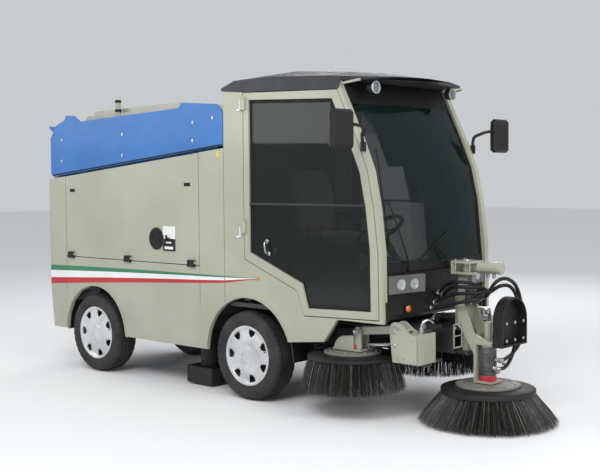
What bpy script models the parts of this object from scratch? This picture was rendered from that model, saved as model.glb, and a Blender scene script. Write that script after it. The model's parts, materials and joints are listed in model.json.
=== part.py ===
"""A compact street sweeper truck with a tipping hopper, two side brushes and a front brush.

Metres, +X forward, +Y to the driver's left, +Z up. Every place is measured from the point on the
ground under the middle of the front axle; the empty "truck" then carries all of it, so that the
origin is under the middle of the whole machine.
"""

import math

import bmesh
import bpy
from mathutils import Matrix, Vector

# Overall sizes
WHEELBASE = 1.742
BODY_WIDTH = 1.216
GAP = 0.0003
SEAM = 0.006
CUT_OVERRUN = 0.05
WELD_DISTANCE = 0.00001
WALL = 0.025
SHEET = 0.015

# Wheels
TYRE_RADIUS = 0.315
TYRE_WIDTH = 0.195
BEAD_RADIUS = 0.200
TYRE_INSET = 0.013
TRIM_LIP = 0.015
TRIM_THICKNESS = 0.006
RIM_WALL = 0.012
HUB_RADIUS = 0.062
HUB_DEPTH = 0.050
SLOT_COUNT = 7
SLOT_RADIUS = 0.148
SLOT_WIDTH = 0.026
SLOT_LENGTH = 0.062
SPINDLE_RADIUS = 0.025
PIN_CLEARANCE = 0.0008
TYRE_STEPS = 32
RIM_STEPS = 20

# Axles, knuckles and frame
KINGPIN_INSET = 0.0675
KINGPIN_RADIUS = 0.0125
KINGPIN_BOSS_RADIUS = 0.030
KINGPIN_BOSS_HEIGHT = 0.090
KNUCKLE_EAR = 0.022
EAR_CLEARANCE = 0.001
BRAKE_RADIUS = 0.105
BRAKE_WIDTH = 0.022
AXLE_RADIUS = 0.042
RAIL_OFFSET = 0.200
RAIL_WIDTH = 0.060
RAIL_HEIGHT = 0.100
RAIL_BASE = 0.400
RAIL_REAR = 2.240
RAIL_FRONT = 0.420
TONGUE_OFFSET = 0.090
TONGUE_FRONT = 1.120
CROSS_MEMBER = 0.060
SPRING_PAD = 0.110
ENGINE_LENGTH = 0.640
ENGINE_WIDTH = 0.540
ENGINE_HEIGHT = 0.420
ENGINE_CENTRE = 1.860

# Rear body
BODY_REAR = 2.320
BODY_FRONT = 0.195
BODY_BOTTOM = 0.325
BODY_TUCK = 0.037
TUCK_HEIGHT = 0.680
BLUE_REAR_BASE = 1.585
BLUE_FRONT_BASE = 1.791
BODY_TOP_DROP = 0.018
REAR_ARCH_RADIUS = 0.385
FRONT_ARCH_RADIUS = 0.412
ARCH_SHIFT = 0.030
ARCH_DEPTH = 0.235
ARCH_SIDES = 18
LINER = 0.008
DECK_HEIGHT = 0.980
DECK_THICKNESS = 0.014
DECK_WIDTH = 0.200
HATCH_REAR = 2.085
HATCH_FRONT = 0.459
HATCH_BASE = 0.930
HATCH_THICKNESS = 0.030
HATCH_FRAME = 0.030
HATCH_HINGE_LENGTH = 0.075
HATCH_HINGE_RADIUS = 0.011
HATCH_HINGE_OUT = 0.013
HATCH_HINGES = 3
HATCH_HINGE_INSET = 0.075
FILLER_RADIUS = 0.085
FILLER_DEPTH = 0.006
FILLER_FROM_FRONT = 0.469
FILLER_HEIGHT = 1.110
TAIL_LAMP_WIDTH = 0.075
TAIL_LAMP_HEIGHT = 0.240
TAIL_LAMP_DEPTH = 0.022
TAIL_LAMP_BASE = 0.820
REAR_BUMPER_HEIGHT = 0.090
REAR_BUMPER_DEPTH = 0.040
REAR_BUMPER_BASE = 0.480

# Hopper
HOPPER_PIVOT_INSET = 0.070
HOPPER_PIVOT_HEIGHT = 1.612
HOPPER_PIN_RADIUS = 0.016
HOPPER_EAR_RADIUS = 0.034
HOPPER_EAR_THICKNESS = 0.012
HOPPER_EAR_DEPTH = 0.160
BLUE_THICKNESS = 0.020
BLUE_REAR = 2.289
BLUE_FRONT = 0.198
BLUE_HEIGHT = 0.324
BIN_SIDE_GAP = 0.028
BIN_FRONT = 0.300
BIN_BASE = 1.030
BIN_TOP = 1.985
BIN_SLOPE = 0.400
BIN_REAR_INSET = 0.030
RUNNING_GAP = 0.008
COVER_HEIGHT = 0.158
COVER_WIDTH = 0.860
COVER_REAR = 2.060
COVER_FRONT = 0.760
COVER_SLOPE = 0.110
COVER_BEVEL = 0.040
VENT_RADIUS = 0.022
VENT_RISE = 0.055
VENT_X = 1.600
DOOR_SHAFT_RADIUS = 0.010
DOOR_SHAFT_HEIGHT = 1.930
DOOR_SHAFT_INSET = 0.054
TAIL_DOOR_THICKNESS = 0.023
TAIL_DOOR_REAR = 2.286
LIP_REACH = 0.114
LIP_RISE = 0.070
LIP_THICKNESS = 0.012
CYLINDER_FOOT_X = 0.400
CYLINDER_FOOT_HEIGHT = 0.600
CYLINDER_EYE_X = 1.460
CYLINDER_EYE_HEIGHT = 0.860
CYLINDER_RADIUS = 0.040
CYLINDER_ROD_RADIUS = 0.022
CYLINDER_EYE_RADIUS = 0.034
CYLINDER_PIN_RADIUS = 0.014
CYLINDER_LUG = 0.016
CYLINDER_LUG_SPREAD = 0.070
CYLINDER_SIDE_GAP = 0.002

# Cab
CAB_REAR = 0.190
CAB_TOP = 2.178
CAB_BOTTOM = 0.665
CAB_SIDE_THICKNESS = 0.045
SILL_HEIGHT = 0.655
CAB_WALL = 0.030
CAB_RAIL = 0.032
A_PILLAR = 0.030
SILL_RAIL = 0.030
SILL_RAIL_HEIGHT = 0.030
CROSS_RAIL_WIDTH = 0.060
DOOR_REAR = 0.011
DOOR_LENGTH = 1.177
DOOR_BASE = 0.649
DOOR_HEIGHT = 1.498
DOOR_THICKNESS = 0.035
DOOR_FRAME = 0.050
DOOR_RAIL_HEIGHT = 1.375
DOOR_RAIL = 0.016
DOOR_RAIL_DEPTH = 0.010
GLASS = 0.006
GLASS_DEPTH = 0.014
DOOR_HINGE_RADIUS = 0.009
DOOR_HINGE_LENGTH = 0.090
DOOR_HINGE_OUT = 0.012
DOOR_HINGE_SETBACK = 0.006
DOOR_HINGE_SKIN = 0.001
DOOR_HINGE_HEIGHTS = (1.180, 2.030)
SKIRT_ANGLE = 20.0
SKIRT_X = 0.733
SKIRT_HEIGHT = 0.490
SKIRT_END = 0.850
FLOOR_THICKNESS = 0.020
FLOOR_STEP_X = 0.500
FLOOR_HIGH = 0.742
ROOF_OVERHANG_REAR = 0.014
ROOF_EDGE = 0.062
ROOF_CROWN = 0.137
ROOF_FRONT = 1.140
ROOF_BOW = 0.100
ROOF_SLOPE = 0.2
VISOR_DROP = 0.055
WORK_LAMP_RADIUS = 0.040
WORK_LAMP_DEPTH = 0.050
WORK_LAMP_Y = 0.431
WORK_LAMP_X = 0.985
SCREEN_BASE = 0.955
SCREEN_TOP = 2.174
SCREEN_SETBACK = 0.020
SCREEN_BOW = 0.045
NOSE_BOW = 0.060
NOSE_SETBACK = 0.030
SCREEN_THICKNESS = 0.006
SCREEN_EDGE_GAP = 0.004
SCREEN_STEPS = 8
NOSE_THICKNESS = 0.030
NOSE_FLAT = 0.200
HEADLIGHT_MARGIN = 0.024
HEADLIGHT_HEIGHT = 0.115
HEADLIGHT_DEPTH = 0.026
HEADLIGHT_BASE = 0.825
LAMP_RADIUS = 0.040
LAMP_SPACING = 0.115
LAMP_RECESS = 0.012
BEACON_RADIUS = 0.050
BEACON_HEIGHT = 0.070
BEACON_X = 0.050
BEACON_Y = 0.250

# Cab fittings
SEAT_X = 0.070
SEAT_WIDTH = 0.400
SEAT_DEPTH = 0.440
SEAT_BASE_HEIGHT = 1.060
CUSHION_THICKNESS = 0.115
BACK_THICKNESS = 0.090
BACK_HEIGHT = 0.440
BACK_RECLINE = 0.060
DASH_REAR = 0.860
DASH_FRONT = 1.110
DASH_WIDTH = 0.860
DASH_HEIGHT = 1.010
COLUMN_RADIUS = 0.026
WHEEL_RADIUS = 0.175
WHEEL_TUBE = 0.014
WHEEL_X = 0.730
WHEEL_HEIGHT = 1.190
WHEEL_TILT = 0.090

# Mirrors
MIRROR_FORWARD = 0.069
MIRROR_REACH = 0.985
MIRROR_WIDTH = 0.190
MIRROR_HEIGHT = 0.240
MIRROR_DEPTH = 0.050
MIRROR_CENTRE_HEIGHT = 1.850
MIRROR_ARM_RADIUS = 0.011
MIRROR_FOOT_HEIGHT = 1.720
MIRROR_FOOT_LENGTH = 0.060
MIRROR_FOOT_WIDTH = 0.030
MIRROR_FOOT_DEPTH = 0.022
MIRROR_FOOT_SETBACK = 0.020

# Suction nozzle
NOZZLE_X = 0.650
NOZZLE_LENGTH = 0.280
NOZZLE_WIDTH = 0.900
NOZZLE_HEIGHT = 0.130
NOZZLE_CLEARANCE = 0.014
NOZZLE_WALL = 0.012
DUCT_RADIUS = 0.080
DUCT_WALL = 0.008
DUCT_Y = 0.320
DUCT_SIDES = 20
HANGER = 0.040

# Front beam and side brushes
BEAM_FRONT = 1.200
BEAM_DEPTH = 0.100
BEAM_HALF_WIDTH = 0.240
BEAM_BASE = 0.420
BEAM_HEIGHT = 0.160
SWING_X = 1.340
SWING_Y = 0.345
SWING_PIN_RADIUS = 0.020
SWING_EAR = 0.018
SWING_EAR_RADIUS = 0.052
SWING_EAR_GAP = 0.005
SWING_BOX_BASE = 0.392
SWING_BOX_HEIGHT = 0.190
SWING_BOX_FRONT = 0.062
SWING_BOX_REAR = 0.055
SWING_BOX_INNER = 0.045
SWING_BOX_OUTER = 0.150
CLEVIS_PLATE = 0.014
CLEVIS_SPAN = 0.090
LIFT_X = 1.235
LIFT_HEIGHT = 0.600
LIFT_PLATE_RADIUS = 0.050
LIFT_PIN_RADIUS = 0.012
ARM_WIDTH = 0.050
ARM_DEPTH = 0.055
ARM_END_X = 0.925
ARM_END_HEIGHT = 0.565
LINK_DROP = 0.095
LINK_PIN_RADIUS = 0.007
LINK_EYE_RADIUS = 0.015
LINK_WIDTH = 0.020
HEAD_X = 0.850
HEAD_REAR = 0.115
HEAD_WIDTH = 0.130
HEAD_HEIGHT = 0.100
HEAD_PLATE = 0.012
HEAD_LUG = 0.040
SIDE_BRUSH_Y = 0.450
SIDE_DISC_HEIGHT = 0.430
SIDE_DISC_RADIUS = 0.190
SIDE_RING_RADIUS = 0.300
SIDE_TIP_RADIUS = 0.355
SIDE_TIP_HEIGHT = 0.170
MOTOR_RADIUS = 0.048
MOTOR_HEIGHT = 0.075
SHAFT_RADIUS = 0.015
SPIN_GAP = 0.005
DISC_THICKNESS = 0.014
RING_THICKNESS = 0.060
BRISTLE_DEPTH = 0.090
TUFT_COUNT = 24
TUFT_SPLAY = 0.010
STRUT_RADIUS = 0.008
STRUT_BODY_RADIUS = 0.013

# Front mast and front brush
MAST_X = 1.420
MAST_Y = 0.030
MAST_SIDE = 0.080
MAST_TOP = 0.930
MAST_BASE = 0.580
MAST_PIN_RADIUS = 0.030
MAST_BRACKET = 0.018
MAST_NOSE_RADIUS = 0.048
MAST_BRACKET_BASE = 0.410
MAST_BRACKET_WIDTH = 0.160
MAST_BRACKET_GAP = 0.005
CAP_SIDE = 0.150
CAP_HEIGHT = 0.085
CAP_PLATE = 0.014
ACTUATOR_RADIUS = 0.038
ACTUATOR_LENGTH = 0.165
SLEEVE_WALL = 0.014
SLEEVE_BASE = 0.600
SLEEVE_HEIGHT = 0.200
FRONT_BRUSH_X = 1.630
FRONT_BRUSH_Y = -0.050
FRONT_DISC_HEIGHT = 0.250
FRONT_DISC_RADIUS = 0.205
FRONT_RING_RADIUS = 0.300
FRONT_TIP_RADIUS = 0.450
FRONT_TIP_HEIGHT = 0.004
FRONT_HEAD_WIDTH = 0.130
FRONT_HEAD_TOP = 0.500
COLUMN_PLATE = 0.014
LIFT_TUBE_RADIUS = 0.026
LIFT_TUBE_TOP = 0.640
GUARD_WIDTH = 0.300
GUARD_BASE = 0.490
GUARD_HEIGHT = 0.310
GUARD_DEPTH = 0.070
GUARD_X = 1.735
GUARD_WALL = 0.012
HOSE_RADIUS = 0.013

# Outlines, as shares of the piece's own length and height
DOOR_OUTLINE_SHARES = ((0.0, 1.0), (0.719, 0.981), (0.857, 0.763), (0.925, 0.636), (0.967, 0.479),
                       (0.995, 0.290), (1.0, 0.014), (0.470, 0.0), (0.414, 0.110), (0.0, 0.235))
WINDOW_OUTLINE_SHARES = ((0.0, 1.0), (0.700, 0.978), (0.835, 0.772), (0.910, 0.640), (0.954, 0.480),
                         (0.985, 0.290), (0.990, 0.012), (0.500, 0.0), (0.452, 0.115), (0.0, 0.250))
BLUE_TOP_SHARES = ((0.0, 0.36), (0.009, 0.417), (0.043, 0.682), (0.097, 0.790), (0.108, 0.914),
                   (0.154, 0.886),
                   (0.192, 0.735), (0.776, 0.880), (0.796, 1.0), (0.967, 0.914), (1.0, 0.728))
ROOF_STATION_SHARES = ((0.0, 1.0, 0.19, 0.34, 0.0), (0.096, 1.0, 0.92, 0.60, 0.0),
                       (0.351, 1.0, 1.0, 1.0, 0.0),
                       (0.720, 0.987, 0.60, 0.67, 0.2), (1.0, 0.855, 0.27, 0.20, 1.0))
SCREEN_ROW_SHARES = (0.0, 0.36, 0.55, 0.72, 0.955, 1.0)
BEAD_WIDTH_SHARE = 0.84
TREAD_WIDTH_SHARE = 0.70
TRIM_DISH_SHARES = (0.30, 0.62, 0.90)
TURNBUCKLE_SHARES = (0.3, 0.7)

COLOURS = {
    "body_paint": ((0.44, 0.45, 0.38), 0.45, 0.0),
    "blue_paint": ((0.05, 0.22, 0.56), 0.40, 0.0),
    "charcoal": ((0.05, 0.055, 0.06), 0.55, 0.0),
    "black_plastic": ((0.02, 0.02, 0.022), 0.60, 0.0),
    "frame_paint": ((0.03, 0.03, 0.03), 0.60, 0.0),
    "rubber": ((0.025, 0.025, 0.025), 0.85, 0.0),
    "trim_silver": ((0.62, 0.63, 0.64), 0.35, 0.6),
    "steel": ((0.45, 0.45, 0.45), 0.35, 1.0),
    "cast_metal": ((0.22, 0.22, 0.22), 0.55, 1.0),
    "glass": ((0.75, 0.85, 0.82), 0.05, 0.0),
    "lamp_glass": ((0.90, 0.92, 0.92), 0.08, 0.0),
    "red_lens": ((0.60, 0.02, 0.02), 0.20, 0.0),
    "seat_fabric": ((0.16, 0.17, 0.17), 0.90, 0.0),
    "bristle": ((0.035, 0.032, 0.028), 0.80, 0.0),
}

HALF_WIDTH = BODY_WIDTH / 2
REAR_REACH = TAIL_DOOR_REAR + LIP_REACH
FRONT_REACH = FRONT_BRUSH_X + FRONT_TIP_RADIUS
FRONT_AXLE_X = (REAR_REACH - FRONT_REACH) / 2
TYRE_Y = HALF_WIDTH - TYRE_INSET - TYRE_WIDTH / 2


# Building tools

def clear_scene():
    for old in list(bpy.data.objects):
        bpy.data.objects.remove(old, do_unlink=True)


def make_material(name):
    colour, roughness, metallic = COLOURS[name]
    material = bpy.data.materials.new(name)
    material.use_nodes = True
    shader = material.node_tree.nodes["Principled BSDF"]
    shader.inputs["Base Color"].default_value = (*colour, 1.0)
    shader.inputs["Roughness"].default_value = roughness
    shader.inputs["Metallic"].default_value = metallic
    material.diffuse_color = (*colour, 1.0)
    return material


def new_object(mesh):
    made = bpy.data.objects.new("piece", mesh)
    bpy.context.scene.collection.objects.link(made)
    return made


def from_bmesh(shape):
    mesh = bpy.data.meshes.new("piece")
    bmesh.ops.recalc_face_normals(shape, faces=shape.faces)
    shape.to_mesh(mesh)
    shape.free()
    return new_object(mesh)


def baked(source):
    """The evaluated mesh of an object, welded, as a new object with no modifiers."""
    bpy.context.view_layer.update()
    graph = bpy.context.evaluated_depsgraph_get()
    mesh = bpy.data.meshes.new_from_object(source.evaluated_get(graph))
    mesh.transform(source.matrix_world)
    shape = bmesh.new()
    shape.from_mesh(mesh)
    bmesh.ops.remove_doubles(shape, verts=shape.verts, dist=WELD_DISTANCE)
    bpy.data.meshes.remove(mesh)
    bpy.data.objects.remove(source, do_unlink=True)
    return from_bmesh(shape)


def block(low, high, bevel=0.0):
    """A box between two corners, with its edges cut off by bevel."""
    low = Vector(low)
    high = Vector(high)
    shape = bmesh.new()
    bmesh.ops.create_cube(shape, size=1.0)
    size = Matrix.Diagonal((*(abs(high[i] - low[i]) for i in range(3)), 1.0))
    bmesh.ops.transform(shape, matrix=Matrix.Translation((low + high) / 2) @ size, verts=shape.verts)
    if bevel:
        bmesh.ops.bevel(shape, geom=shape.edges, offset=bevel, segments=1, affect="EDGES")
    return from_bmesh(shape)


def rod(start, end, radius, sides=12, end_radius=None):
    """A round bar or a cone between two points."""
    start = Vector(start)
    along = Vector(end) - start
    turn = along.to_track_quat("Z", "Y").to_matrix().to_4x4()
    shape = bmesh.new()
    bmesh.ops.create_cone(shape, cap_ends=True, segments=sides, radius1=radius,
                          radius2=radius if end_radius is None else end_radius, depth=along.length)
    bmesh.ops.transform(shape, matrix=Matrix.Translation(start + along / 2) @ turn, verts=shape.verts)
    return from_bmesh(shape)


PLANES = {
    "XY": Matrix.Identity(4),
    "XZ": Matrix(((1, 0, 0, 0), (0, 0, -1, 0), (0, 1, 0, 0), (0, 0, 0, 1))),
    "YZ": Matrix(((0, 0, 1, 0), (1, 0, 0, 0), (0, 1, 0, 0), (0, 0, 0, 1))),
}


def plate(outline, low, high, plane="XZ", holes=()):
    """A flat outline, filled and extruded from low to high across its plane."""
    curve = bpy.data.curves.new("outline", "CURVE")
    curve.dimensions = "2D"
    curve.fill_mode = "BOTH"
    curve.extrude = abs(high - low) / 2
    for loop in (outline, *holes):
        spline = curve.splines.new("POLY")
        spline.points.add(len(loop) - 1)
        for point, (u, v) in zip(spline.points, loop):
            point.co = Vector((u, v, 0)).to_4d()
        spline.use_cyclic_u = True
    made = new_object(curve)
    across = Vector([abs(part) for part in PLANES[plane].col[2][:3]])
    made.matrix_world = Matrix.Translation(across * (low + high) / 2) @ PLANES[plane]
    return baked(made)


def turned(profile, centre, axis, steps):
    """A closed profile of (radius, height) points, turned about an axis through centre."""
    mesh = bpy.data.meshes.new("profile")
    count = len(profile)
    points = [(radius, 0.0, height) for radius, height in profile]
    edges = [(i, (i + 1) % count) for i in range(count) if profile[i][0] or profile[(i + 1) % count][0]]
    mesh.from_pydata(points, edges, [])
    made = new_object(mesh)
    screw = made.modifiers.new("turn", "SCREW")
    screw.steps = steps
    screw.render_steps = steps
    screw.use_merge_vertices = True
    screw.merge_threshold = WELD_DISTANCE
    turn = Vector(axis).to_track_quat("Z", "Y").to_matrix().to_4x4()
    made.matrix_world = Matrix.Translation(Vector(centre)) @ turn
    return baked(made)


def tube(points, radius, bevel_resolution=2):
    """A round tube along a list of points."""
    curve = bpy.data.curves.new("route", "CURVE")
    curve.dimensions = "3D"
    curve.bevel_depth = radius
    curve.bevel_resolution = bevel_resolution
    curve.use_fill_caps = True
    spline = curve.splines.new("POLY")
    spline.points.add(len(points) - 1)
    for point, place in zip(spline.points, points):
        point.co = Vector(place).to_4d()
    return baked(new_object(curve))


def smooth_route(points, steps):
    """Points on a smooth curve through the given points, steps to each stretch."""
    ends = [points[0], *points, points[-1]]
    route = []
    for before, start, end, after in zip(ends, ends[1:], ends[2:], ends[3:]):
        for step in range(steps):
            share = step / steps
            a, b, c, d = (Vector(p) for p in (before, start, end, after))
            route.append(0.5 * (2 * b + (c - a) * share + (2 * a - 5 * b + 4 * c - d) * share ** 2
                                + (3 * b - a - 3 * c + d) * share ** 3))
    route.append(Vector(points[-1]))
    return route


def loft(sections):
    """A closed body through sections that have the same number of points."""
    shape = bmesh.new()
    rings = [[shape.verts.new(point) for point in section] for section in sections]
    count = len(rings[0])
    for ring, following in zip(rings, rings[1:]):
        for i in range(count):
            j = (i + 1) % count
            shape.faces.new((ring[i], ring[j], following[j], following[i]))
    shape.faces.new(rings[0])
    shape.faces.new(rings[-1])
    return from_bmesh(shape)


def fused(pieces, cuts=()):
    """The pieces joined into one body, less the cuts."""
    base = pieces[0]
    for kind, others in (("UNION", pieces[1:]), ("DIFFERENCE", cuts)):
        for other in others:
            step = base.modifiers.new(kind.lower(), "BOOLEAN")
            step.operation = kind
            step.object = other
    made = baked(base)
    for used in (*pieces[1:], *cuts):
        bpy.data.objects.remove(used, do_unlink=True)
    return made


def mirrored(source):
    """A copy of a right-hand piece for the left-hand side."""
    mesh = source.data.copy()
    mesh.transform(Matrix.Scale(-1.0, 4, (0.0, 1.0, 0.0)))
    mesh.flip_normals()
    return new_object(mesh)


def finish(name, material, piece, pivot=(0.0, 0.0, 0.0)):
    """Names a piece, puts its origin on its pivot and hangs it on the truck's empty."""
    piece.name = name
    piece.data.name = name
    piece.data.transform(Matrix.Translation(-Vector(pivot)))
    piece.data.materials.clear()
    piece.data.materials.append(MATERIALS[material])
    piece.data.shade_smooth()
    piece.data.set_sharp_from_angle(angle=math.radians(35))
    bpy.context.scene.collection.objects.unlink(piece)
    PARTS.objects.link(piece)
    piece.parent = TRUCK
    piece.location = pivot


def finish_pair(name, material, piece, pivot=(0.0, 0.0, 0.0)):
    """Finishes a right-hand piece and its mirrored copy."""
    other = mirrored(piece)
    finish(name + "_right", material, piece, pivot)
    finish(name + "_left", material, other, (pivot[0], -pivot[1], pivot[2]))


def arc(centre, radius, start, end, steps):
    """Points on an arc, from one angle in degrees to another."""
    return [(centre[0] + radius * math.cos(math.radians(start + (end - start) * i / steps)),
             centre[1] + radius * math.sin(math.radians(start + (end - start) * i / steps)))
            for i in range(steps + 1)]


def polygon_reach(sides):
    """How much nearer than its corners a regular polygon's flats are, as a factor."""
    return math.cos(math.pi / sides)


# Running gear

def hub_face(share):
    """How far out from the wheel's middle the rim's dish lies, at a share of its depth."""
    return TYRE_WIDTH / 2 * BEAD_WIDTH_SHARE + GAP + TRIM_THICKNESS - HUB_DEPTH * share


def wheel(axle_x, side_y):
    """A tyre and its slotted rim for the right-hand side, both on the wheel's own axis."""
    centre = (axle_x, side_y, TYRE_RADIUS)
    half = TYRE_WIDTH / 2
    wall = TYRE_RADIUS - BEAD_RADIUS
    side = ((BEAD_RADIUS, BEAD_WIDTH_SHARE), (BEAD_RADIUS + TRIM_LIP * 1.2, BEAD_WIDTH_SHARE),
            (BEAD_RADIUS + wall * 0.50, 1.0), (BEAD_RADIUS + wall * 0.80, 0.95),
            (TYRE_RADIUS, TREAD_WIDTH_SHARE))
    profile = [(radius, half * share) for radius, share in side]
    profile += [(radius, -half * share) for radius, share in reversed(side)]
    tyre = turned(profile, centre, (0, -1, 0), TYRE_STEPS)
    seat = (BEAD_RADIUS - GAP) * polygon_reach(TYRE_STEPS)
    barrel = seat - RIM_WALL
    lip_base = half * BEAD_WIDTH_SHARE + GAP
    lip_top = lip_base + TRIM_THICKNESS
    bore = SPINDLE_RADIUS + PIN_CLEARANCE
    dish = [hub_face(share) for share in TRIM_DISH_SHARES]
    rim = turned(
        ((bore, dish[0]), (HUB_RADIUS, dish[0]), (HUB_RADIUS + RIM_WALL, dish[1]),
         (SLOT_RADIUS, dish[0]), (seat, lip_top), (BEAD_RADIUS + TRIM_LIP, lip_top),
         (BEAD_RADIUS + TRIM_LIP, lip_base), (seat, lip_base), (seat, -half * BEAD_WIDTH_SHARE),
         (barrel, -half * BEAD_WIDTH_SHARE),
         (barrel, dish[2]), (bore, dish[2])),
        centre, (0, -1, 0), RIM_STEPS)
    slots = []
    for i in range(SLOT_COUNT):
        angle = 2 * math.pi * (i + 0.5) / SLOT_COUNT
        slot = block((-SLOT_LENGTH / 2, -TYRE_WIDTH, -SLOT_WIDTH / 2), (SLOT_LENGTH / 2, 0, SLOT_WIDTH / 2))
        place = Vector((math.cos(angle) * SLOT_RADIUS, -dish[2] + CUT_OVERRUN / 2,
                        math.sin(angle) * SLOT_RADIUS))
        turn = Matrix.Rotation(-angle, 4, "Y") @ Matrix.Rotation(math.pi / 2, 4, "Y")
        slot.data.transform(Matrix.Translation(Vector(centre) + place) @ turn)
        slots.append(slot)
    return tyre, fused([rim], slots)


def make_wheels():
    for name, axle_x in (("front", 0.0), ("rear", -WHEELBASE)):
        pivot = (axle_x, -TYRE_Y, TYRE_RADIUS)
        tyre, rim = wheel(axle_x, -TYRE_Y)
        finish_pair("tyre_" + name, "rubber", tyre, pivot)
        finish_pair("rim_" + name, "trim_silver", rim, pivot)


def make_knuckles():
    """Each knuckle has two ears and a kingpin about the axle's boss, a brake drum and a stub axle."""
    kingpin_y = TYRE_Y - KINGPIN_INSET
    half_boss = KINGPIN_BOSS_HEIGHT / 2 + EAR_CLEARANCE
    drum_out = -TYRE_Y - hub_face(TRIM_DISH_SHARES[2]) + SPIN_GAP
    drum_middle = drum_out + BRAKE_WIDTH / 2
    pieces = [
        rod((0, drum_out, TYRE_RADIUS), (0, drum_out + BRAKE_WIDTH, TYRE_RADIUS), BRAKE_RADIUS, 20),
        rod((0, -TYRE_Y - hub_face(TRIM_DISH_SHARES[0]), TYRE_RADIUS), (0, drum_middle, TYRE_RADIUS),
            SPINDLE_RADIUS, 16),
        rod((0, -kingpin_y, TYRE_RADIUS - half_boss - KNUCKLE_EAR / 2),
            (0, -kingpin_y, TYRE_RADIUS + half_boss + KNUCKLE_EAR / 2), KINGPIN_RADIUS),
    ]
    for low in (TYRE_RADIUS + half_boss, TYRE_RADIUS - half_boss - KNUCKLE_EAR):
        pieces.append(block((-KINGPIN_BOSS_RADIUS, drum_middle, low),
                            (KINGPIN_BOSS_RADIUS, -kingpin_y + KINGPIN_BOSS_RADIUS, low + KNUCKLE_EAR)))
    finish_pair("knuckle", "cast_metal", fused(pieces), (0, -kingpin_y, TYRE_RADIUS))


def make_axles():
    """The front axle ends in bosses for the kingpins, the rear one in stub axles for the wheels."""
    kingpin_y = TYRE_Y - KINGPIN_INSET
    pad_top = RAIL_BASE - GAP
    pad_base = TYRE_RADIUS - AXLE_RADIUS * 1.2
    beam_y = kingpin_y - KINGPIN_BOSS_RADIUS / 3
    front = [rod((0, -beam_y, TYRE_RADIUS), (0, beam_y, TYRE_RADIUS), AXLE_RADIUS / 2 + SPINDLE_RADIUS / 2)]
    outer = TYRE_Y + hub_face(TRIM_DISH_SHARES[0])
    inner = TYRE_Y + hub_face(TRIM_DISH_SHARES[2]) - SPIN_GAP
    rear = [rod((-WHEELBASE, -outer, TYRE_RADIUS), (-WHEELBASE, outer, TYRE_RADIUS), SPINDLE_RADIUS, 16)]
    rear.append(rod((-WHEELBASE, -inner, TYRE_RADIUS), (-WHEELBASE, inner, TYRE_RADIUS), AXLE_RADIUS))
    rear.append(rod((-WHEELBASE, -RAIL_OFFSET / 2, TYRE_RADIUS), (-WHEELBASE, RAIL_OFFSET / 2, TYRE_RADIUS),
                    AXLE_RADIUS * 2, 16))
    cuts = []
    for side in (-1, 1):
        boss_low = (0, side * kingpin_y, TYRE_RADIUS - KINGPIN_BOSS_HEIGHT / 2)
        boss_high = (0, side * kingpin_y, TYRE_RADIUS + KINGPIN_BOSS_HEIGHT / 2)
        front.append(rod(boss_low, boss_high, KINGPIN_BOSS_RADIUS))
        cuts.append(rod((0, side * kingpin_y, 0), (0, side * kingpin_y, TYRE_RADIUS * 2),
                        KINGPIN_RADIUS + PIN_CLEARANCE))
        for axle, pieces in ((0.0, front), (-WHEELBASE, rear)):
            pieces.append(block((axle - SPRING_PAD / 2, side * RAIL_OFFSET - RAIL_WIDTH / 2, pad_base),
                                (axle + SPRING_PAD / 2, side * RAIL_OFFSET + RAIL_WIDTH / 2, pad_top)))
    finish("front_axle", "cast_metal", fused(front, cuts))
    finish("rear_axle", "cast_metal", fused(rear), (-WHEELBASE, 0, TYRE_RADIUS))


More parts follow.
